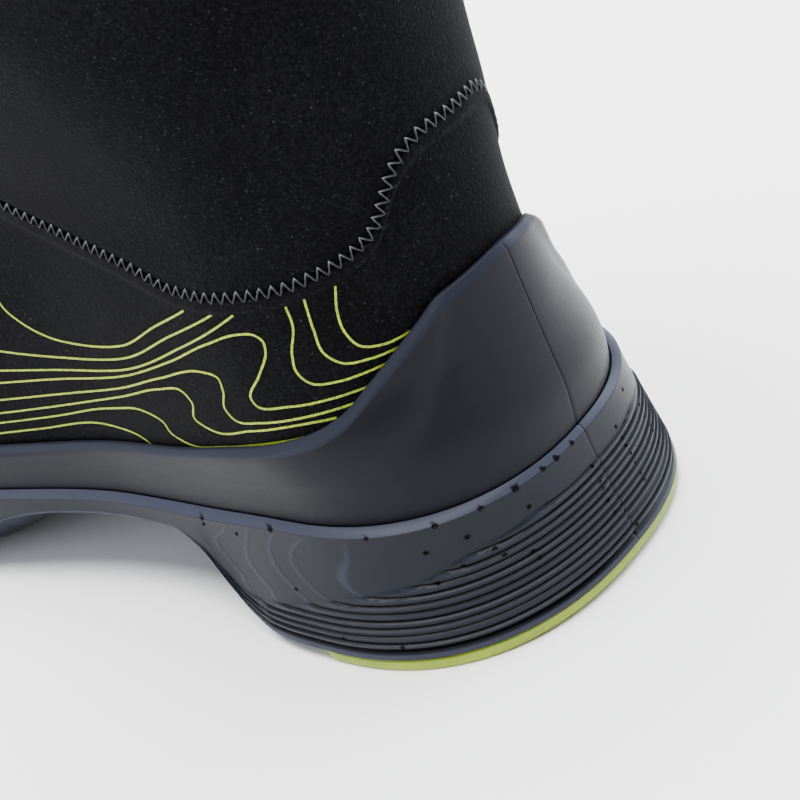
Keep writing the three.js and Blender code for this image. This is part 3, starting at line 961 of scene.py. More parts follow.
@dataclass(frozen=True)
class Weave:
    """Woven or plaited yarn that follows the piece's own UV map."""

    name: str
    dark: tuple
    light: tuple
    warp: float = 0.0011
    weft: float = 0.0007
    roughness: float = 0.8

    def make(self) -> bpy.types.Material:
        """Builds the material.

        Returns:
            The material.
        """
        s = Shader(self.name)
        at = s.place("UV")
        across = (s.axis(at, "X") * (FULL_TURN / self.warp)).wave()
        along = (s.axis(at, "Y") * (FULL_TURN / self.weft)).wave()
        yarn = across * along
        fuzz = s.noise(2500, 3)
        s.set(
            Base_Color=s.mix((yarn * 0.4 + 0.5 + fuzz * 0.3).clamp(0.2, 1.1), self.dark, self.light),
            Roughness=self.roughness,
            Specular_IOR_Level=0.12,
            Sheen_Weight=0.03,
        )
        s.bump(yarn * 0.5 + fuzz * 0.3, 0.6, 0.0002)
        return s.material


@dataclass(frozen=True)
class Plain:
    """A plain moulded, pressed or spun material with a light grain; when marked, dark except under painted
    highlights.
    """

    name: str
    dark: tuple
    light: tuple
    scale: float
    roughness: float
    relief: float = 0.3
    marked: bool = False

    def make(self) -> bpy.types.Material:
        """Builds the material.

        Returns:
            The material.
        """
        s = Shader(self.name)
        grain = s.noise(self.scale, 5, 0.6)
        tone = grain.clamp(0.3, 0.7)
        if self.marked:
            # Marked material stays dark except where its mesh carries a painted highlight.
            tone = s.painted_light() * (tone * 0.6 + 0.4)
        s.set(
            Base_Color=s.mix(tone, self.dark, self.light),
            Roughness=self.roughness + 0.1 * grain,
        )
        s.bump(grain, self.relief, 0.0003)
        return s.material


def made(recipe: Union[MouldedRubber, Jersey, Weave, Plain]) -> bpy.types.Material:
    """A field of Finishes that holds a recipe's material."""
    return field(default_factory=recipe.make)


@dataclass
class Finishes:
    """Every finish of the boot, made once; all but the print's ink bear the name of their slot."""

    # For the marked shell and sole, the light colour is reached only under painted highlights; the sole's mid
    # tone is the rubber's own and its darkest tone is painted shade.
    shell: bpy.types.Material = made(MouldedRubber(
        "shell_rubber", shade(3, 3, 7), shade(52, 55, 69), 0.4, specular=0.09, marked=True))
    sole: bpy.types.Material = made(MouldedRubber(
        "sole_rubber", shade(1, 1, 2), shade(53, 56, 69), 0.38, specular=0.1, marked=True))
    outsole: bpy.types.Material = made(MouldedRubber(
        "lime_rubber", shade(122, 142, 0), shade(144, 166, 6), 0.5, 0.3))
    neoprene: bpy.types.Material = made(Jersey(
        "neoprene_jersey", shade(2, 2, 3), shade(58, 58, 64), 0.015, flecks=0.9))
    lining: bpy.types.Material = made(Jersey(
        "fleece_lining", shade(44, 47, 52), shade(74, 78, 84), 0.5, 0.0016))
    print_ink: bpy.types.Material = made(Plain(
        "lime_print", shade(92, 108, 0), shade(172, 194, 8), 2600, 0.55))
    # The thread's light colour is a painted highlight on the crowns of its stitches.
    thread: bpy.types.Material = made(Plain(
        "cover_thread", shade(16, 16, 21), shade(128, 130, 140), 3000, 0.6, marked=True))
    tape: bpy.types.Material = made(Weave(
        "stretch_tape", shade(5, 5, 7), shade(20, 20, 24), 0.0007, 0.0007))
    webbing: bpy.types.Material = made(Weave(
        "loop_webbing", shade(5, 5, 7), shade(28, 28, 33)))
    foam: bpy.types.Material = made(Plain(
        "cell_foam", shade(38, 39, 44), shade(54, 56, 62), 1400, 0.8))
    board: bpy.types.Material = made(Plain(
        "fibre_board", shade(128, 122, 108), shade(150, 143, 128), 900, 0.85))
    nylon: bpy.types.Material = made(Plain(
        "stiff_nylon", shade(24, 24, 27), shade(34, 34, 38), 500, 0.4, 0.1))

    def of(self, slot: Slot) -> bpy.types.Material:
        """The finish that belongs to a slot."""
        return getattr(self, slot.value)


# ---- sub-assemblies ------------------------------------------------------------------------


@dataclass
class CupSole:
    """The cup sole: a ledge, a terraced heel wall with small pits, and a raised arch."""

    form: BootForm
    heel_reach: float = 96.0
    heel_step: float = 0.55
    foot_step: float = 2.4
    wall_rows: int = 142
    band_rows: int = 12
    wall_depth: float = 23.7
    first_level: float = 5.9
    level_pitch: float = 1.43
    step_out: float = 0.5
    contour_out: float = 0.1
    corner_round: float = 0.4
    keel_inset: float = 9.0
    wall_foot: float = 0.975
    band_share: float = 0.15
    groove_at: float = 0.915
    groove_width: float = 0.016
    groove_depth: float = 0.6
    # Painted shade in the groove above the outsole, and a painted highlight on the rim below it.
    groove_painted_shade: float = 0.5
    rim_painted_highlight: float = 0.42
    parting_width: float = 0.18
    parting_depth: float = 0.16
    ledge_crown: float = 0.12
    pit_radius: float = 0.42

    def __post_init__(self) -> None:
        """Sets the distances round the heel at which the contour lines turn upright."""
        self.turns = Curve(
            (9, 0.0), (17, 1), (29, 2), (35, 3), (41.5, 4), (49, 5), (57, 6), (63, 7), (70, 8), (77, 9),
            (85, 10), (96, 11.3),
        )

    def angles(self) -> Array:
        """Angles of the wall's columns, close together round the heel and alike on both sides.

        Returns:
            Array of angles.
        """
        form = self.form
        fine = np.concatenate([[0.12, 0.28], np.arange(self.heel_step, self.heel_reach, self.heel_step)])
        rest = form.half_way - self.heel_reach
        count = int(rest / self.foot_step)
        coarse = self.heel_reach + np.arange(count) / count * rest
        side = form.angle_at(np.concatenate([fine, coarse]))
        return np.concatenate([[math.pi], side[::-1], [0.0], -side])

    def contour(self, run: Array, depth: Value) -> tuple[Array, Array]:
        """Height field whose whole numbers are the steps and contour lines of the wall.

        Args:
            run: Distance round the ledge from the back of the heel.
            depth: Depth below the ledge, as it is behind the heel.

        Returns:
            The field, and how much its upright lines outweigh the level ones.
        """
        side = np.abs(run)
        ribs = 1 + (depth - self.first_level) / self.level_pitch
        sway = 4.6 * np.sin(np.clip(depth, 0, 13) * math.pi / 13) * smoothstep(46, 58, side)
        sway = sway + 0.7 * np.sin(side * 0.21 + depth * 0.35)
        rise = self.turns(side - sway)
        top, soft = np.maximum(ribs, rise), self.corner_round
        level = top + soft * np.log(np.exp((ribs - top) / soft) + np.exp((rise - top) / soft))
        return level, rise - ribs

    def relief(self, run: Array, share: float) -> tuple[Array, Array]:
        """How far the wall stands out, and the painted light and shade on it.

        Args:
            run: Distance round the ledge.
            share: Share of the way down the wall.

        Returns:
            Offsets in millimetres, and painted light, from painted shade near 0 in a groove to a painted
            highlight near 1 on an edge.
        """
        depth = share * self.wall_depth
        level, upright = self.contour(run, depth)
        part = level - np.floor(level)
        side = np.abs(run)
        saw = smoothstep(0, 0.17, part) - part - 0.35 * bell(part - 0.985, 0.08)
        # A painted highlight on each step's ledge and painted shade in the corner beneath it.
        edge = 0.55 * bell(part - 0.22, 0.09) - bell(part - 0.97, 0.1) - bell(part + 0.03, 0.1)
        # Thin light contour lines: a painted highlight on the faint ridges.
        line = bell(np.minimum(part, 1 - part), np.where(upright > 0, 0.045, 0.15))
        back = (1 - smoothstep(30, 62, side)) * float(smoothstep(3.6, 5.2, depth))
        middle = float(smoothstep(7, 11, depth)) * (1 - smoothstep(58, 78, side))
        low = float(smoothstep(12, 17, depth)) * (1 - smoothstep(74, 96, side))
        strong = np.maximum(np.maximum(back, middle), low) * (1 - smoothstep(-0.2, 0.45, upright))
        faint = (1 - smoothstep(78, 96, side)) * smoothstep(43, 52, side) * (1 - strong)
        ends = float(smoothstep(0.0, 0.05, share) * (1 - smoothstep(0.885, 0.9, share)))
        live = smoothstep(0.6, 1.0, level) * ends
        # Painted light: 0.5 keeps the rubber's own tone; edges and ridges get painted highlights, grooves
        # painted shade.
        painted_light = 0.5 + 0.5 * live * (edge * strong + 0.6 * line * faint)
        return live * (self.step_out * strong * saw + self.contour_out * faint * line), painted_light

    def place(self, run: Array, share: float, out: float = 0.0) -> Array:
        """Points of one row of the wall.

        Args:
            run: Distance round the ledge of each column.
            share: Share of the way down the wall.
            out: Extra distance outwards.

        Returns:
            Array of points.
        """
        form = self.form
        angle = form.angle_at(run)
        y = form.ledge_y(angle)
        offset = form.flare(y) * share**1.15 + self.relief(run, share)[0] + out
        offset = offset - self.groove_depth * self.groove(share)
        offset = offset - self.parting_depth * bell(run, self.parting_width)
        height = form.ledge(y) + (form.rim(y) - form.ledge(y)) * share
        return np.concatenate([form.outline(angle, offset), height[:, None]], axis=1)

    def groove(self, share: float) -> float:
        """How near a row is to the groove above the outsole, from 0 to 1."""
        return float(bell(share - self.groove_at, self.groove_width))

    def pits(self) -> bpy.types.Object:
        """Balls that cut the pits, on the ledge's edge and between the terraces.

        Returns:
            All the balls as one object.
        """
        ledge = [(run, 0.0) for run in (3.8, 8.1, 11.3, 17.4, 24, 32, 44, 65, 84)]
        loose = [
            (16.4, 0.17), (27.8, 0.16), (24.5, 0.31), (30.2, 0.35), (35, 0.42), (35, 0.18), (23.5, 0.39),
            (19, 0.47), (18.4, 0.54), (63.6, 0.49), (56, 0.83), (45, 0.87), (84, 0.1), (75, 0.09),
            (-38, 0.18), (-42, 0.51), (-14.8, 0.09), (-0.9, 0.87),
        ]
        columns = [(2.1, share) for share in (0.25, 0.38, 0.44, 0.55, 0.66)]
        columns += [(-7.4, share) for share in (0.2, 0.3, 0.37, 0.44, 0.53, 0.62, 0.68)]
        columns += [(-17.6, share) for share in (0.32, 0.42, 0.51, 0.56, 0.67)]
        balls = []
        for number, (run, share) in enumerate(ledge + loose + columns):
            radius = self.pit_radius * (1.3 if number < len(ledge) and number % 2 else 1.0)
            point = self.place(np.array([run]), share, 0.05)[0] * MM
            bpy.ops.mesh.primitive_ico_sphere_add(subdivisions=2, radius=radius * MM, location=point)
            balls.append(bpy.context.object)
        return Bench.join("pit_cutter", balls)

    def build(self, finishes: Finishes) -> None:
        """Models the cup sole with its pits.

        Args:
            finishes: The boot's finishes.
        """
        angle = self.angles()
        run = self.form.run_at(angle)
        rows = self.underside(angle) + self.wall(run)
        rows += self.ledge(angle, run, rows[-1][0]) + self.well(angle)
        points = np.stack([row for row, _ in rows], axis=1)
        # The painted light and shade of each row, kept with the mesh.
        painted_light = np.stack([np.broadcast_to(tone, run.shape) for _, tone in rows], axis=1)
        piece = Bench.lattice("cup_sole_moulding", points, join_round=True, marks={"painted_light": painted_light})
        Bench.carve(piece, self.pits())
        Bench.fit(piece, finishes.sole, Slot.SOLE, Body.FOOT, ["cup_sole"], 32)

    def underside(self, angle: Array) -> list[tuple[Array, Value]]:
        """Rows from the middle of the underside out to the wall's rounded rim.

        Args:
            angle: Angles of the columns.

        Returns:
            Pairs of points and painted light; the rounded rim carries a painted highlight.
        """
        form = self.form
        y = form.ledge_y(angle)
        under = self.flat(angle, -self.keel_inset, form.keel(y))
        middle = form.middle(under)
        rows: list[tuple[Array, Value]] = [(row, 0.5) for row in (middle, (middle + under) / 2, under)]
        for inset, rise in ((1.1, 0.0), (0.35, 0.1), (0.05, 0.45)):
            # The rounded rim rows carry a painted highlight.
            rows.append((self.flat(angle, form.flare(y) - inset, form.rim(y) + rise), 0.9))
        return rows

    def flat(self, angle: Array, offset: Value, height: Array) -> Array:
        """Points of one row from an offset of the outline and a height."""
        return np.concatenate([self.form.outline(angle, offset), height[:, None]], axis=1)

    def wall(self, run: Array) -> list[tuple[Array, Value]]:
        """Rows from the foot of the wall up to the ledge, with painted shade in the grooves and a painted
        highlight on the rim.

        Args:
            run: Distance round the ledge of each column.

        Returns:
            Pairs of points and painted light.
        """
        shares = np.concatenate([
            np.linspace(self.wall_foot, self.band_share, self.wall_rows),
            np.linspace(self.band_share, 0, self.band_rows)[1:],
        ])
        rows: list[tuple[Array, Value]] = []
        for share in (float(value) for value in shares):
            # A painted highlight on the rim and painted shade in the groove above the outsole.
            tone = self.relief(run, share)[1] + self.rim_painted_highlight * float(smoothstep(0.935, 0.95, share))
            tone = np.clip(tone - self.groove_painted_shade * self.groove(share), 0, 1)
            rows.append((self.place(run, share), tone))
        return rows

    def ledge(self, angle: Array, run: Array, outer: Array) -> list[tuple[Array, Value]]:
        """Rows across the bevelled ledge, from the wall's top in to the shells, all with a painted highlight.

        Args:
            angle: Angles of the columns.
            run: Distance round the ledge of each column.
            outer: The wall's uppermost row.

        Returns:
            Pairs of points and painted light.
        """
        form = self.form
        height = form.ledge(form.ledge_y(angle)) + form.ledge_rise
        inner = form.surface(angle, height, form.well_offset)
        notch = 0.2 * bell(run, 0.16)
        rows: list[tuple[Array, Value]] = []
        for share in (0.06, 0.14, 0.5, 0.86, 0.94, 1.0):
            row = outer + (inner - outer) * share
            row[:, 2] += self.ledge_crown * math.sin(math.pi * share) - notch
            # Every ledge row carries a full painted highlight, as the bevel faces up.
            rows.append((row, 1.0))
        return rows

    def well(self, angle: Array) -> list[tuple[Array, Value]]:
        """Rows down the inside of the cup and across its floor.

        Args:
            angle: Angles of the columns.

        Returns:
            Pairs of points and wear.
        """
        form = self.form
        y = form.ledge_y(angle)
        height, offset = form.ledge(y) + form.ledge_rise, form.well_offset
        rows = [form.surface(angle, height - drop, offset) for drop in (0.5, 2.0, 6.0)]
        bottom = form.surface(angle, form.floor(y), offset)
        bottom[:, 1] = form.plan_y(angle, bottom[:, 1].max(), bottom[:, 1].min())
        bottom[:, 2] = form.floor(y)
        middle = form.middle(bottom)
        return [(row, 0.5) for row in rows + [bottom, (middle + bottom) / 2, middle]]


@dataclass
class OutsolePads:
    """The lime heel and forefoot pads with their wavy siping."""

    form: BootForm
    inset: float = 2.8
    lip: float = 2.3
    clear: float = 0.06
    siping_pitch: float = 5.5
    siping_width: float = 0.9
    siping_depth: float = 1.0
    siping_margin: float = 6.5
    wave_height: float = 1.4
    wave_length: float = 17.0
    columns: int = 260

    def outline(self, angle: Array, span: tuple[float, float], radii: tuple[float, float],
                grow: float) -> Array:
        """Edge of a pad in plan.

        Args:
            angle: Angles round the pad.
            span: Its rear and front ends.
            radii: Roundings of its two ends.
            grow: Distance outwards.

        Returns:
            Array of x and y.
        """
        form = self.form
        back, front = span[0] + grow, span[1] - grow
        y = form.plan_y(angle, back, front)
        widths = tuple(
            side(y) + form.flare(y) - self.inset + grow for side in (form.lateral, form.medial)
        )
        ends = (radii[0] + grow, radii[1] + grow)
        return form.plan(angle, back, front, widths, ends, form.heel_fullness)

    def pad(self, name: str, span: tuple[float, float], radii: tuple[float, float],
            node: str, finishes: Finishes) -> None:
        """Models one pad and cuts its siping.

        Args:
            name: Name of the piece.
            span: Rear and front ends.
            radii: Roundings of its two ends.
            node: The frame node that it stands for.
            finishes: The boot's finishes.
        """
        form = self.form
        angle = ring(self.columns)

        def row(grow: float, height: Callable[[Array], Array]) -> Array:
            """Points of one row."""
            xy = self.outline(angle, span, radii, grow)
            return np.concatenate([xy, height(xy[:, 1])[:, None]], axis=1)

        def top(y: Array) -> Array:
            """Height of the pad's upper face."""
            return np.minimum(form.keel(y), form.rim(y)) - self.clear

        low, high = row(self.lip - 3, form.tread), row(self.lip - 3, top)
        rows = [
            form.middle(low), (form.middle(low) + low) / 2, low,
            row(self.lip - 0.55, form.tread),
            row(self.lip - 0.16, lambda y: form.tread(y) + 0.1),
            row(self.lip, lambda y: form.tread(y) + 0.4),
            row(self.lip + 0.04, lambda y: (form.tread(y) + top(y)) / 2),
            row(self.lip, lambda y: top(y) - 0.25),
            row(self.lip - 0.25, top),
            high, (form.middle(high) + high) / 2, form.middle(high),
        ]
        piece = Bench.lattice(name, np.stack(rows, axis=1), join_round=True)
        Bench.carve(piece, self.siping(span))
        Bench.fit(piece, finishes.outsole, Slot.OUTSOLE, Body.FOOT, [node], 35)

    def siping(self, span: tuple[float, float]) -> bpy.types.Object:
        """Wavy bars that cut the grooves across a pad.

        Args:
            span: The pad's rear and front ends.

        Returns:
            All the bars as one object.
        """
        form = self.form
        half, deep = self.siping_width / 2, self.siping_depth
        section = [(deep, -half), (deep, half), (-1.0, half), (-1.0, -half)]
        bars = []
        for y in np.arange(span[0] - 12, span[1] + 8, -self.siping_pitch):
            reach = float(min(form.lateral(y), form.medial(y))) - self.siping_margin
            reach = min(reach, math.sqrt(max(4.0, reach**2 - max(0.0, y - (span[0] - reach)) ** 2)))
            across = np.linspace(-reach, reach, 60)
            wave = y + self.wave_height * np.sin(across * FULL_TURN / self.wave_length)
            path = np.stack([across + float(form.midline(y)), wave, form.tread(wave)], axis=1)
            out = np.tile([0.0, 0.0, 1.0], (len(path), 1))
            bars.append(Bench.strand("siping", path, out, section))
        return Bench.join("siping_cutter", bars)

    def build(self, finishes: Finishes) -> None:
        """Models both pads.

        Args:
            finishes: The boot's finishes.
        """
        form = self.form
        back = form.sole_back + float(form.flare(form.sole_back)) - self.inset
        self.pad("heel_outsole_lip", (back, form.along(0.163)), (form.heel, 14),
                 "heel_outsole_pad", finishes)
        self.pad("forefoot_outsole_tread", (form.along(0.478), form.sole_front + 6), (14, 52),
                 "forefoot_outsole_pad", finishes)


@dataclass
class RubberShells:
    """The heel counter and the toe cap."""

    form: BootForm
    joint: float = math.radians(102)
    joint_gap: float = math.radians(0.15)
    lobe: float = 0.6
    hollow: float = 0.1
    parting_columns: tuple[float, ...] = (-0.3, -0.12, 0.12, 0.3)
    parting_width: float = 0.2
    parting_depth: float = 0.18

    def __post_init__(self) -> None:
        """Sets the soft crease that runs from the counter's peak to its wings."""
        self.crease = Curve(
            (11, 62), (14, 57), (18, 48), (22, 42), (30, 38), (47, 36.5), (62, 32.5), (80, 28),
        )

    def stops(self, angle: Array) -> list[Stop]:
        """Section of a shell with a bevelled top edge.

        Args:
            angle: Angles of the columns.

        Returns:
            Its corners.
        """
        form = self.form
        low, top = form.low_edge(angle), form.shell_top(angle)
        face, back = form.cement + form.shell_wall, form.cement
        return [
            Stop(face, low, rows=42),
            Stop(face, low + (top - low) * 0.7, rows=18),
            Stop(face - 0.55, top - 1.6, 0.3, rows=2),
            Stop(face - 1.45, top, 0.25, rows=1),
            Stop(back, top, 0.2, rows=4),
            Stop(back, low, rows=2),
        ]

    def relief(self, angle: Array, height: Array, offset: Array) -> Array:
        """A raised lobe above the soft crease, and the parting line behind the heel.

        Args:
            angle: Angles of the columns.
            height: Height of the row at each of them.
            offset: Offset of the row at each of them.

        Returns:
            Extra offsets, on the outer face only.
        """
        form = self.form
        turn = form.turned(angle)
        above = height - self.crease(turn)
        raised = self.lobe * smoothstep(-5, 5, above) * smoothstep(10, 17, turn)
        hollow = -self.hollow * bell(above + 4.0, 4.5)
        hollow = hollow * smoothstep(12, 20, turn) * (1 - smoothstep(60, 80, turn))
        line = -self.parting_depth * bell(form.run_at(angle), self.parting_width)
        return np.where(offset > form.cement + 0.9, raised + hollow + line, 0.0)

    def shell(self, name: str, node: str, angle: Array, relief: Optional[Relief],
              finishes: Finishes) -> None:
        """Models one shell, with a painted highlight along its bevelled top edge.

        Args:
            name: Name of the piece.
            node: The frame node that it stands for.
            angle: Angles of its columns.
            relief: Extra offset of its outer face.
            finishes: The boot's finishes.
        """
        points = Section(self.form, angle).points(self.stops(angle), relief)
        below = points[:, :, 2] - self.form.shell_top(angle)[:, None]
        # A painted highlight along the bevelled top edge; the rest of the shell stays dark.
        painted_light = 0.26 + 0.4 * smoothstep(-1.9, -1.4, below)
        piece = Bench.lattice(name, points, join_section=True, cap=True, marks={"painted_light": painted_light})
        Bench.fit(piece, finishes.shell, Slot.SHELL, Body.FOOT, [node])

    def build(self, finishes: Finishes) -> None:
        """Models both shells.

        Args:
            finishes: The boot's finishes.
        """
        form = self.form
        end = self.joint - self.joint_gap
        run = np.linspace(form.run_at(-end), form.run_at(end), 560)
        run = np.unique(np.concatenate([run, self.parting_columns]))
        self.shell("heel_counter_shell", "heel_counter", form.angle_at(run)[::-1], self.relief, finishes)
        start = self.joint + self.joint_gap
        turn = np.linspace(start, FULL_TURN - start, 260)[::-1]
        self.shell("toe_cap_shell", "toe_cap", turn, None, finishes)


@dataclass
class Stitching:
    """Zigzag cover stitches that follow a height round the boot."""

    form: BootForm
    pitch: float = 2.1
    swing: float = 1.05
    thread: float = 0.17
    steps: int = 8

    def zigzag(self, name: str, height: Callable[[Array], Array], low: float, high: float,
               rise: float = 0.0) -> bpy.types.Object:
        """One closed row of stitches.

        Args:
            name: Name of the piece.
            height: Height of the row at each angle.
            low: How far out the thread lies at its lower end.
            high: How far out it lies at its upper end.
            rise: How far the middle of the row lies above the height.

        Returns:
            The thread.
        """
        form = self.form
        turn = np.linspace(math.pi, -math.pi, 4001)
        track = form.surface(turn, height(turn))
        run = run_along(track)
        count = int(run[-1] / self.pitch)
        share = np.arange(count * self.steps) / (count * self.steps)
        angle = np.interp(share * run[-1], run, turn)
        base = form.surface(angle, height(angle))
        out = form.surface(angle, height(angle), 1.0) - base
        ahead = Bench.ahead(base)
        ahead /= np.linalg.norm(ahead, axis=1, keepdims=True)
        up = np.cross(out, ahead)
        up *= np.sign(up[:, 2:3])
        sway = 2 / math.pi * np.arcsin(0.97 * np.sin(share * count * FULL_TURN))
        lift = low + (high - low) * (sway + 1) / 2 + 0.08 - 0.3 * np.abs(sway) ** 6
        path = base + up * (rise + self.swing * sway)[:, None] + out * lift[:, None]
        # A painted highlight on the upper crown of each stitch.
        crown = bell(sway - 0.85, 0.28)
        return Bench.strand(name, path, out, Bench.circle(self.thread, 6), closed=True, painted_light=crown)


@dataclass
class Upper:
    """The neoprene panels with their seams, stitching, tapes and printed lines."""

    form: BootForm
    columns: int = 480
    ankle_y: float = -15.0
    blend_low: float = 88.0
    blend_high: float = 137.0
    overlap: float = 0.45
    ink_width: float = 0.38
    ink_lift: float = 0.09
    ink_detail: float = 2.2
    tape_half: float = 6.0
    tape_wall: float = 0.5

    def bend(self, piece: bpy.types.Object) -> None:
        """Bakes a soft piece's placing into its mesh.

        Args:
            piece: The soft piece.
        """
        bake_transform(piece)
        log.info("%s: %d faces, bending", piece.name, len(piece.data.polygons))

    def soft(self, piece: bpy.types.Object, material: bpy.types.Material, slot: Slot, node: str) -> None:
        """Dresses a soft piece and bakes its placing into its mesh.

        Args:
            piece: The soft piece.
            material: Its finish.
            slot: The record's slot that the finish belongs to.
            node: The frame node that it stands for.
        """
        Bench.dress(piece, material, slot, [node], 60)
        self.bend(piece)

    def panel(self, name: str, stops: Sequence[Stop], node: str, finishes: Finishes) -> None:
        """Models one panel, dressed with the lining on its inner faces.

        Args:
            name: Name of the piece.
            stops: Corners of its section.
            node: The frame node that it stands for.
            finishes: The boot's finishes.
        """
        section = Section(self.form, ring(self.columns))
        depth = np.stack([offset for offset, _ in section.rows(stops)], axis=1)
        piece = Bench.lattice(name, section.points(stops), join_round=True, join_section=True,
                              marks={"depth": depth})
        self.soft(piece, finishes.neoprene, Slot.NEOPRENE, node)
        piece.data.materials.append(finishes.lining)
        layer = piece.data.attributes["depth"]
        deep = np.empty(len(piece.data.vertices), np.float32)
        layer.data.foreach_get("value", deep)
        for face in piece.data.polygons:
            face.material_index = int(deep[list(face.vertices)].mean() < -0.75 * self.form.wall)
        piece.data.attributes.remove(layer)

    def panels(self, finishes: Finishes) -> None:
        """The quarter, the ankle panel and the shaft.

        Args:
            finishes: The boot's finishes.
        """
        form = self.form
        angle = ring(self.columns)
        low, seam, edge = form.low_edge(angle), form.seam(angle), form.shell_top(angle)
        self.panel("quarter_panel", [
            Stop(0, low, rows=10), Stop(0, edge, rows=40), Stop(0.0, seam - 3.0, rows=3),
            Stop(self.overlap, seam - 1.9, 0.4, rows=2), Stop(self.overlap, seam - 0.4, 0.3, rows=1),
            Stop(0.1, seam - 0.2, rows=1), Stop(-form.wall, seam - 0.2, rows=20), Stop(-form.wall, low),
        ], "foot_sleeve", finishes)
        top = form.ankle_top
        self.panel("ankle_lobe_panel", [
            Stop(-0.5, seam + 0.1, rows=1), Stop(0, seam + 0.9, rows=50), Stop(0, top - 1.4, 0.5, rows=2),
            Stop(-0.7, top - 0.2, rows=1), Stop(-form.wall, top - 0.2, rows=20), Stop(-form.wall, seam + 0.1),
        ], "ankle_panel", finishes)
        high = form.collar - form.gap - 1.0
        self.panel("shaft_sleeve_panel", [
            Stop(-0.7, top + 0.2, rows=2), Stop(0, top + 1.4, 0.5, rows=44), Stop(0, high, rows=1),
            Stop(-form.wall, high, rows=24), Stop(-form.wall, top + 0.2),
        ], "shaft_sleeve", finishes)

    def seams(self, finishes: Finishes) -> None:
        """Stitches outside and tapes inside both seams.

        Args:
            finishes: The boot's finishes.
        """
        form = self.form
        rows = Stitching(form)
        self.soft(rows.zigzag("ankle_cover_stitch", form.seam, self.overlap, 0.12, 0.25),
                  finishes.thread, Slot.THREAD, "ankle_seam_stitching")
        self.soft(rows.zigzag("shaft_cover_stitch", form.ankle_line, 0.1, 0.1),
                  finishes.thread, Slot.THREAD, "shaft_seam_stitching")
        angle = ring(self.columns // 2)
        inner = -form.wall - form.cement
        for name, height, node in (("ankle_tape", form.seam, "ankle_seam_tape"),
                                   ("shaft_tape", form.ankle_line, "shaft_seam_tape")):
            low, high = height(angle) - self.tape_half, height(angle) + self.tape_half
            points = Section(form, angle).points([
                Stop(inner, low, 0.2, rows=4), Stop(inner, high, 0.2, rows=1),
                Stop(inner - self.tape_wall, high, 0.2, rows=4), Stop(inner - self.tape_wall, low, 0.2),
            ])
            self.soft(Bench.lattice(name, points, join_round=True, join_section=True),
                      finishes.tape, Slot.TAPE, node)

    @staticmethod
    def printed_routes() -> list[list[tuple[float, float]]]:
        """Routes of the printed contour lines, as angle round the boot and height."""
        return [
            [(92, 82), (84, 71), (76, 61), (68, 56), (59.4, 57.3), (54.8, 62.8), (50.5, 66.8)],
            [(106, 82), (95, 69), (84, 58.5), (74, 53), (66, 52.5), (59.1, 54.5), (52.4, 61.2),
             (45.8, 66.6)],
            [(120, 80), (107, 67), (94, 56), (80, 49.5), (68, 49.5), (59.1, 51.9), (50.5, 59.3),
             (42.5, 66.5)],
            [(129, 70), (116, 58.5), (102, 50), (86, 46), (70, 47), (59.1, 50.5), (52.2, 55.9),
             (46.4, 60.9), (42.1, 63), (39.4, 62.8), (38, 61.4), (37.7, 59.8), (38.8, 55.3), (40.2, 51),
             (39.6, 49.6), (35.5, 49.3), (29.9, 49.6), (24.4, 50.2)],
            [(128, 57), (114, 49), (98, 43.5), (82, 41.5), (70, 43.4), (59.6, 47.7), (53.8, 51.8),
             (47.6, 55.1), (44.9, 54.6), (44.2, 51.8), (44.5, 48), (43.4, 46), (39.8, 46.3), (34, 47.1),
             (27, 48)],
            [(122, 45.5), (108, 41), (92, 38.2), (80, 38.2), (70, 40.6), (59.8, 45.7), (54.2, 49.3),
             (50.9, 50.3), (49.5, 48.2), (49.7, 44.1), (47.6, 42.5), (41.5, 44.4), (35.1, 45.8),
             (30, 46.2)],
            [(106, 35.5), (94, 35), (82, 35.4), (70, 38.3), (62, 42.2), (57.6, 43.4), (55.2, 41.9),
             (54.6, 38.9), (52.8, 37.4), (47.4, 39), (40, 42), (34.4, 43.6)],
            [(82, 32.4), (72, 35), (64, 37.6), (60.2, 36.4), (58.5, 33.5)],
            [(27.9, 68.2), (27.9, 64.1), (27, 60), (25.2, 57.1), (22.3, 56.2), (18, 56.6)],
            [(32.4, 67.4), (31.2, 62), (29.9, 57.3), (27.7, 55.1), (24.4, 54.6), (20, 54.8)],
            [(35, 66.8), (34, 63.4), (34.2, 58.4), (33.8, 55.3), (31.8, 52.7), (29.1, 52.3), (24.8, 52.6),
             (21.6, 53)],
        ]

    def print_lines(self, finishes: Finishes) -> None:
        """The printed lines, thin on the neoprene, on both sides of the heel.

        Args:
            finishes: The boot's finishes.
        """
        form = self.form
        half = self.ink_width / 2
        section = [(self.ink_lift, -half), (self.ink_lift, half), (0.01, half), (0.01, -half)]
        ribbons = []
        for side in (1, -1):
            for route in self.printed_routes():
                points = np.array(route) * np.array([side, 1.0])
                at = run_along(points)
                place = np.linspace(0, at[-1], int(at[-1] * self.ink_detail))
                bend = [Bench.glide(at, points[:, k], place) for k in (0, 1)]
                angle = np.radians(bend[0])
                path = form.surface(angle, bend[1])
                out = form.surface(angle, bend[1], 1.0) - path
                ribbons.append(Bench.strand("line", path, out, section))
        piece = Bench.join("printed_contour_lines", ribbons)
        Bench.fit(piece, finishes.print_ink, Slot.OUTSOLE, Body.FOOT, sharp=60)

    def build(self, finishes: Finishes) -> None:
        """Models the whole upper.

        Args:
            finishes: The boot's finishes.
        """
        self.panels(finishes)
        self.seams(finishes)
        self.print_lines(finishes)


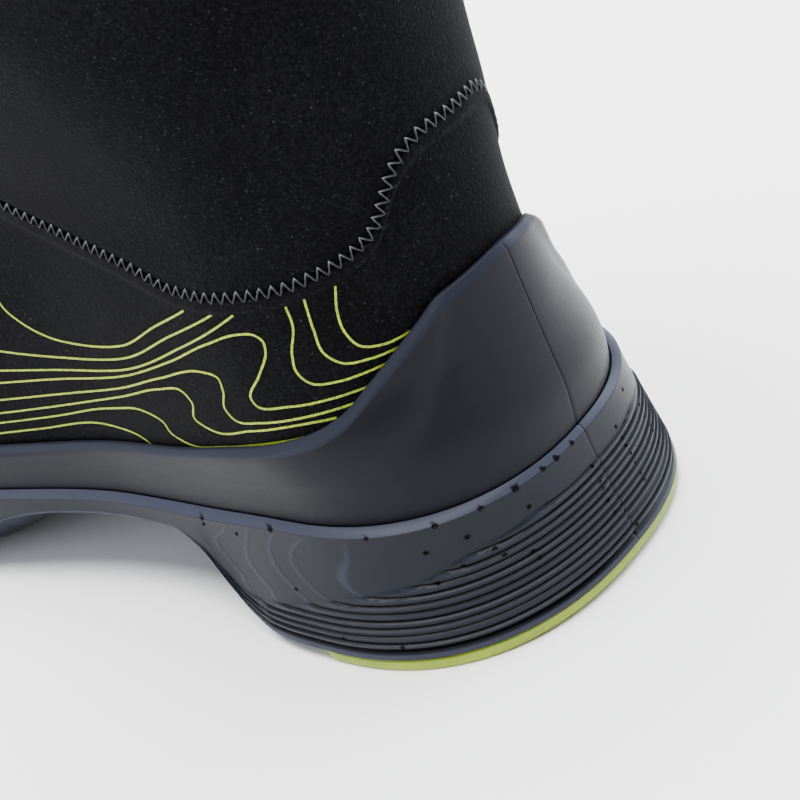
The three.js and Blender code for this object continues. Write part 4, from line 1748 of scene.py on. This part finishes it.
@dataclass
class Collar:
    """The bound top edge and the webbing pull loops with their patches."""

    form: BootForm
    depth: float = 10.0
    binding: float = 1.0
    strap_half: float = 10.0
    strap_wall: float = 1.6
    strap_edge: float = 0.6
    bulge: float = 9.2
    rise: float = 33.0
    patch_half: float = 13.0
    patch_wall: float = 1.4
    stitch_drop: float = 2.2

    def bind(self, finishes: Finishes) -> None:
        """The folded binding with its row of stitches.

        Args:
            finishes: The boot's finishes.
        """
        form = self.form
        top, low = form.collar, form.collar - self.depth
        out, inn = form.gap + self.binding, -form.wall - form.gap - self.binding
        fold = top - self.binding
        points = Section(form, ring(360)).points([
            Stop(out, low, 0.3, rows=6), Stop(out, top, 1.2, rows=3), Stop(inn, top, 1.2, rows=6),
            Stop(inn, low, 0.3), Stop(inn + self.binding, low), Stop(inn + self.binding, fold),
            Stop(form.gap, fold), Stop(form.gap, low),
        ])
        piece = Bench.lattice("collar_binding_tape", points, join_round=True, join_section=True)
        Bench.fit(piece, finishes.tape, Slot.TAPE, Body.SHAFT, ["collar_binding"])

        def level(angle: Array) -> Array:
            """Height of the row of stitches."""
            return np.full_like(angle, low + self.stitch_drop)

        stitch = Stitching(form, swing=0.7).zigzag("collar_stitch", level, out, out)
        Bench.fit(stitch, finishes.thread, Slot.THREAD, Body.SHAFT, sharp=60)

    def loop(self, name: str, side: int, body: Body, finishes: Finishes) -> None:
        """One standing loop of webbing.

        Args:
            name: "rear" or "front".
            side: 1 behind the leg and -1 in front of it.
            body: The body that carries the loop.
            finishes: The boot's finishes.
        """
        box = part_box(f"{name}_pull_loop")
        root = (box[0][1] if side > 0 else box[1][1]) / MM + side * self.strap_wall / 2
        foot = box[0][2] / MM + self.strap_wall / 2
        radius = self.bulge / 2
        t = np.linspace(0, 1, 16, endpoint=False)
        high = self.rise - self.strap_wall - radius
        swell = np.stack([
            radius * (1 - t) ** 2 + 2 * t * (1 - t) * self.bulge + t * t * self.bulge,
            2 * t * (1 - t) * radius + t * t * high,
        ], axis=1)
        turn = np.linspace(0, math.pi, 20, endpoint=False)
        arch = np.stack([radius + radius * np.cos(turn), high + radius * np.sin(turn)], axis=1)
        down = np.stack([np.zeros_like(turn), high * (1 - turn / math.pi)], axis=1)
        base = np.stack([radius * np.linspace(0, 1, 5, endpoint=False), np.zeros(5)], axis=1)
        flat = np.concatenate([swell, arch, down, base])
        path = np.stack([np.zeros(len(flat)), root + side * flat[:, 0], foot + flat[:, 1]], axis=1)
        centre = np.array([0.0, root + side * radius, foot + self.rise / 2])
        out = np.cross(Bench.ahead(path), [1.0, 0.0, 0.0])
        out *= np.sign(np.sum(out * (path - centre), axis=1, keepdims=True))
        half, wall = self.strap_half, self.strap_wall / 2
        across = np.linspace(self.strap_edge - half, half - self.strap_edge, 9)
        face = [(wall, b) for b in across] + [(wall * 0.6, half - 0.1)]
        section = face + [(-a, -b) for a, b in face]
        piece = Bench.strand(f"{name}_webbing_loop", path, out, section, closed=True)
        Bench.fit(piece, finishes.webbing, Slot.WEBBING, body, [f"{name}_pull_loop"])

    def patch(self, name: str, side: int, finishes: Finishes) -> None:
        """The stitched patch that holds a loop's ends.

        Args:
            name: "rear" or "front".
            side: 1 behind the leg and -1 in front of it.
            finishes: The boot's finishes.
        """
        form = self.form
        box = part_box(f"{name}_loop_patch")
        low, high = box[0][2] / MM, box[1][2] / MM
        middle = 0.0 if side > 0 else math.pi
        reach = math.asin(self.patch_half / float(form.leg(form.collar)))
        angle = np.linspace(middle + reach, middle - reach, 40)
        edge = np.clip(np.minimum(angle - angle[-1], angle[0] - angle) / (reach * 0.08), 0, 1) ** 0.5
        outer = form.gap + 0.5 + 0.9 * edge
        points = Section(form, angle).points([
            Stop(outer, low, 0.4, rows=12), Stop(outer, high, 0.4), Stop(form.gap, high, rows=2),
            Stop(form.gap, low),
        ])
        piece = Bench.lattice(f"{name}_patch_webbing", points, join_section=True, cap=True)
        Bench.fit(piece, finishes.webbing, Slot.WEBBING, Body.SHAFT, [f"{name}_loop_patch"])
        corners = np.array([
            (-0.8, 0.1), (0.8, 0.1), (0.8, 0.9), (-0.8, 0.9), (-0.8, 0.1), (0.8, 0.9), (0.8, 0.1),
            (-0.8, 0.9),
        ])
        route = np.concatenate([
            np.linspace(a, b, 48, endpoint=False) for a, b in zip(corners, corners[1:])
        ])
        turn, height = middle + reach * route[:, 0], low + (high - low) * route[:, 1]
        dip = 0.12 * np.sin(np.arange(len(route)) * FULL_TURN / 8)
        base = form.surface(turn, height)
        out = form.surface(turn, height, 1.0) - base
        path = base + out * (form.gap + self.patch_wall + 0.02 + dip)[:, None]
        stitch = Bench.strand(f"{name}_patch_stitch", path, out, Bench.circle(0.2, 6))
        Bench.fit(stitch, finishes.thread, Slot.THREAD, Body.SHAFT, sharp=60)

    def build(self, finishes: Finishes) -> None:
        """Models the collar.

        Args:
            finishes: The boot's finishes.
        """
        self.bind(finishes)
        for name, side, body in (("rear", 1, Body.REAR_LOOP), ("front", -1, Body.FRONT_LOOP)):
            self.loop(name, side, body, finishes)
            self.patch(name, side, finishes)


@dataclass
class Insole:
    """The fabric top of the footbed, cupped at its edge."""

    form: BootForm
    inset: float = 12.5
    lift: float = 8.0
    thickness: float = 0.8
    cup: float = 2.2

    def build(self, finishes: Finishes) -> None:
        """Models the footbed's cover.

        Args:
            finishes: The boot's finishes.
        """
        form = self.form
        edge = form.outline(ring(200), -self.inset)
        centre = form.middle(edge)
        shares = np.linspace(0, 1, 14)

        def row(share: float, up: float) -> Array:
            """One ring of the cover, cupped towards its edge.

            Args:
                share: Share of the way out.
                up: Height above the cover's underside.

            Returns:
                Array of points.
            """
            xy = centre + (edge - centre) * share
            height = form.floor(xy[:, 1]) + self.lift + up + self.cup * share**6
            return np.concatenate([xy, height[:, None]], axis=1)

        rows = [row(s, 0.0) for s in shares] + [row(s, self.thickness) for s in shares[::-1]]
        piece = Bench.lattice("footbed_top_cloth", np.stack(rows, axis=1), join_round=True)
        Bench.fit(piece, finishes.lining, Slot.LINING, Body.FOOT, ["footbed_cover"])


@dataclass(frozen=True)
class Lamp:
    """A round panel of soft light that points at the boot."""

    name: str
    place: tuple[float, float, float]
    size: float
    power: float
    tint: tuple[float, float, float] = (0.8, 0.86, 1.0)


@dataclass
class Studio:
    """The floor, the lights and the camera, with angles in degrees and lengths in metres."""

    form: BootForm
    sky: float = 0.45
    azimuth: float = 138.0
    elevation: float = 29.7
    roll: float = 20.6
    distance: float = 0.3
    frame_width: float = 0.1333
    sensor: float = 36.0
    aside: float = 0.0308
    above: float = 0.005
    lamps: tuple[Lamp, ...] = (
        Lamp("overhead", (-0.05, -0.2, 1.3), 1.4, 96.0, (1.0, 1.0, 1.0)),
        Lamp("right_edge", (-0.95, 0.4, 0.5), 0.7, 15.0),
        Lamp("left_side", (0.95, -0.75, 0.5), 0.8, 7.0),
    )

    def build(self) -> None:
        """Sets the stage."""
        self.floor()
        self.lights()
        self.camera()

    def floor(self) -> None:
        """A plain pale floor."""
        bpy.ops.object.select_all(action="DESELECT")
        bpy.ops.mesh.primitive_plane_add(size=12, location=(0, 0, 0))
        ground = bpy.context.object
        ground.name = "studio_floor"
        s = Shader("pale_floor")
        s.set(Base_Color=(0.95, 0.95, 0.95, 1.0), Roughness=0.9, Specular_IOR_Level=0.1)
        ground.data.materials.append(s.material)

    def lights(self) -> None:
        """Soft light from the sky and from large panels."""
        world = bpy.data.worlds.new("studio_sky")
        world.use_nodes = True
        background = world.node_tree.nodes["Background"]
        background.inputs["Color"].default_value = (1.0, 1.0, 1.0, 1.0)
        background.inputs["Strength"].default_value = self.sky
        bpy.context.scene.world = world
        for lamp in self.lamps:
            data = bpy.data.lights.new(lamp.name, "AREA")
            data.shape, data.size, data.energy, data.color = "DISK", lamp.size, lamp.power, lamp.tint
            panel = bpy.data.objects.new(lamp.name, data)
            panel.location = lamp.place
            aim = Vector((0, 0, 0.05)) - Vector(lamp.place)
            panel.rotation_euler = aim.to_track_quat("-Z", "Y").to_euler()
            bpy.context.scene.collection.objects.link(panel)

    def camera(self) -> None:
        """Looks down at the heel from behind its lateral side, rolled a little."""
        azimuth, elevation, roll = (math.radians(v) for v in (self.azimuth, self.elevation, self.roll))
        right = Vector((math.cos(azimuth), math.sin(azimuth), 0))
        back = Vector((
            math.sin(azimuth) * math.cos(elevation),
            -math.cos(azimuth) * math.cos(elevation),
            math.sin(elevation),
        ))
        up = back.cross(right)
        across = right * math.cos(roll) - up * math.sin(roll)
        upright = right * math.sin(roll) + up * math.cos(roll)
        lens = self.sensor * self.distance / self.frame_width
        anchor = Vector((0, self.form.sole_back, float(self.form.ledge(self.form.sole_back)))) * MM
        aim = anchor - across * self.aside + upright * self.above
        data = bpy.data.cameras.new("studio_camera")
        data.lens, data.sensor_width = lens, self.sensor
        data.clip_start, data.clip_end = 0.01, 20
        eye = bpy.data.objects.new("studio_camera", data)
        place = aim + back * self.distance
        eye.matrix_world = Matrix((
            (across.x, upright.x, back.x, place.x),
            (across.y, upright.y, back.y, place.y),
            (across.z, upright.z, back.z, place.z),
            (0, 0, 0, 1),
        ))
        bpy.context.scene.collection.objects.link(eye)
        bpy.context.scene.camera = eye


def dress_frame(finishes: Finishes) -> None:
    """Gives the frame's own nodes their finishes.

    Args:
        finishes: The boot's finishes.
    """
    for part in frame["record"]["subparts"]:
        node = bpy.data.objects[part["node"]]
        material = finishes.of(Slot(part["material_slot"]))
        if not node.material_slots:
            node.data.materials.append(material)
        for slot in node.material_slots:
            slot.material = material


def main() -> None:
    """Builds the boot round its frame."""
    logging.basicConfig(level=logging.INFO, format="%(name)s %(message)s")
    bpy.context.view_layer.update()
    form = BootForm()
    finishes = Finishes()
    dress_frame(finishes)
    CupSole(form).build(finishes)
    OutsolePads(form).build(finishes)
    RubberShells(form).build(finishes)
    Upper(form).build(finishes)
    Collar(form).build(finishes)
    Insole(form).build(finishes)
    Studio(form).build()


if __name__ == "__main__":
    main()
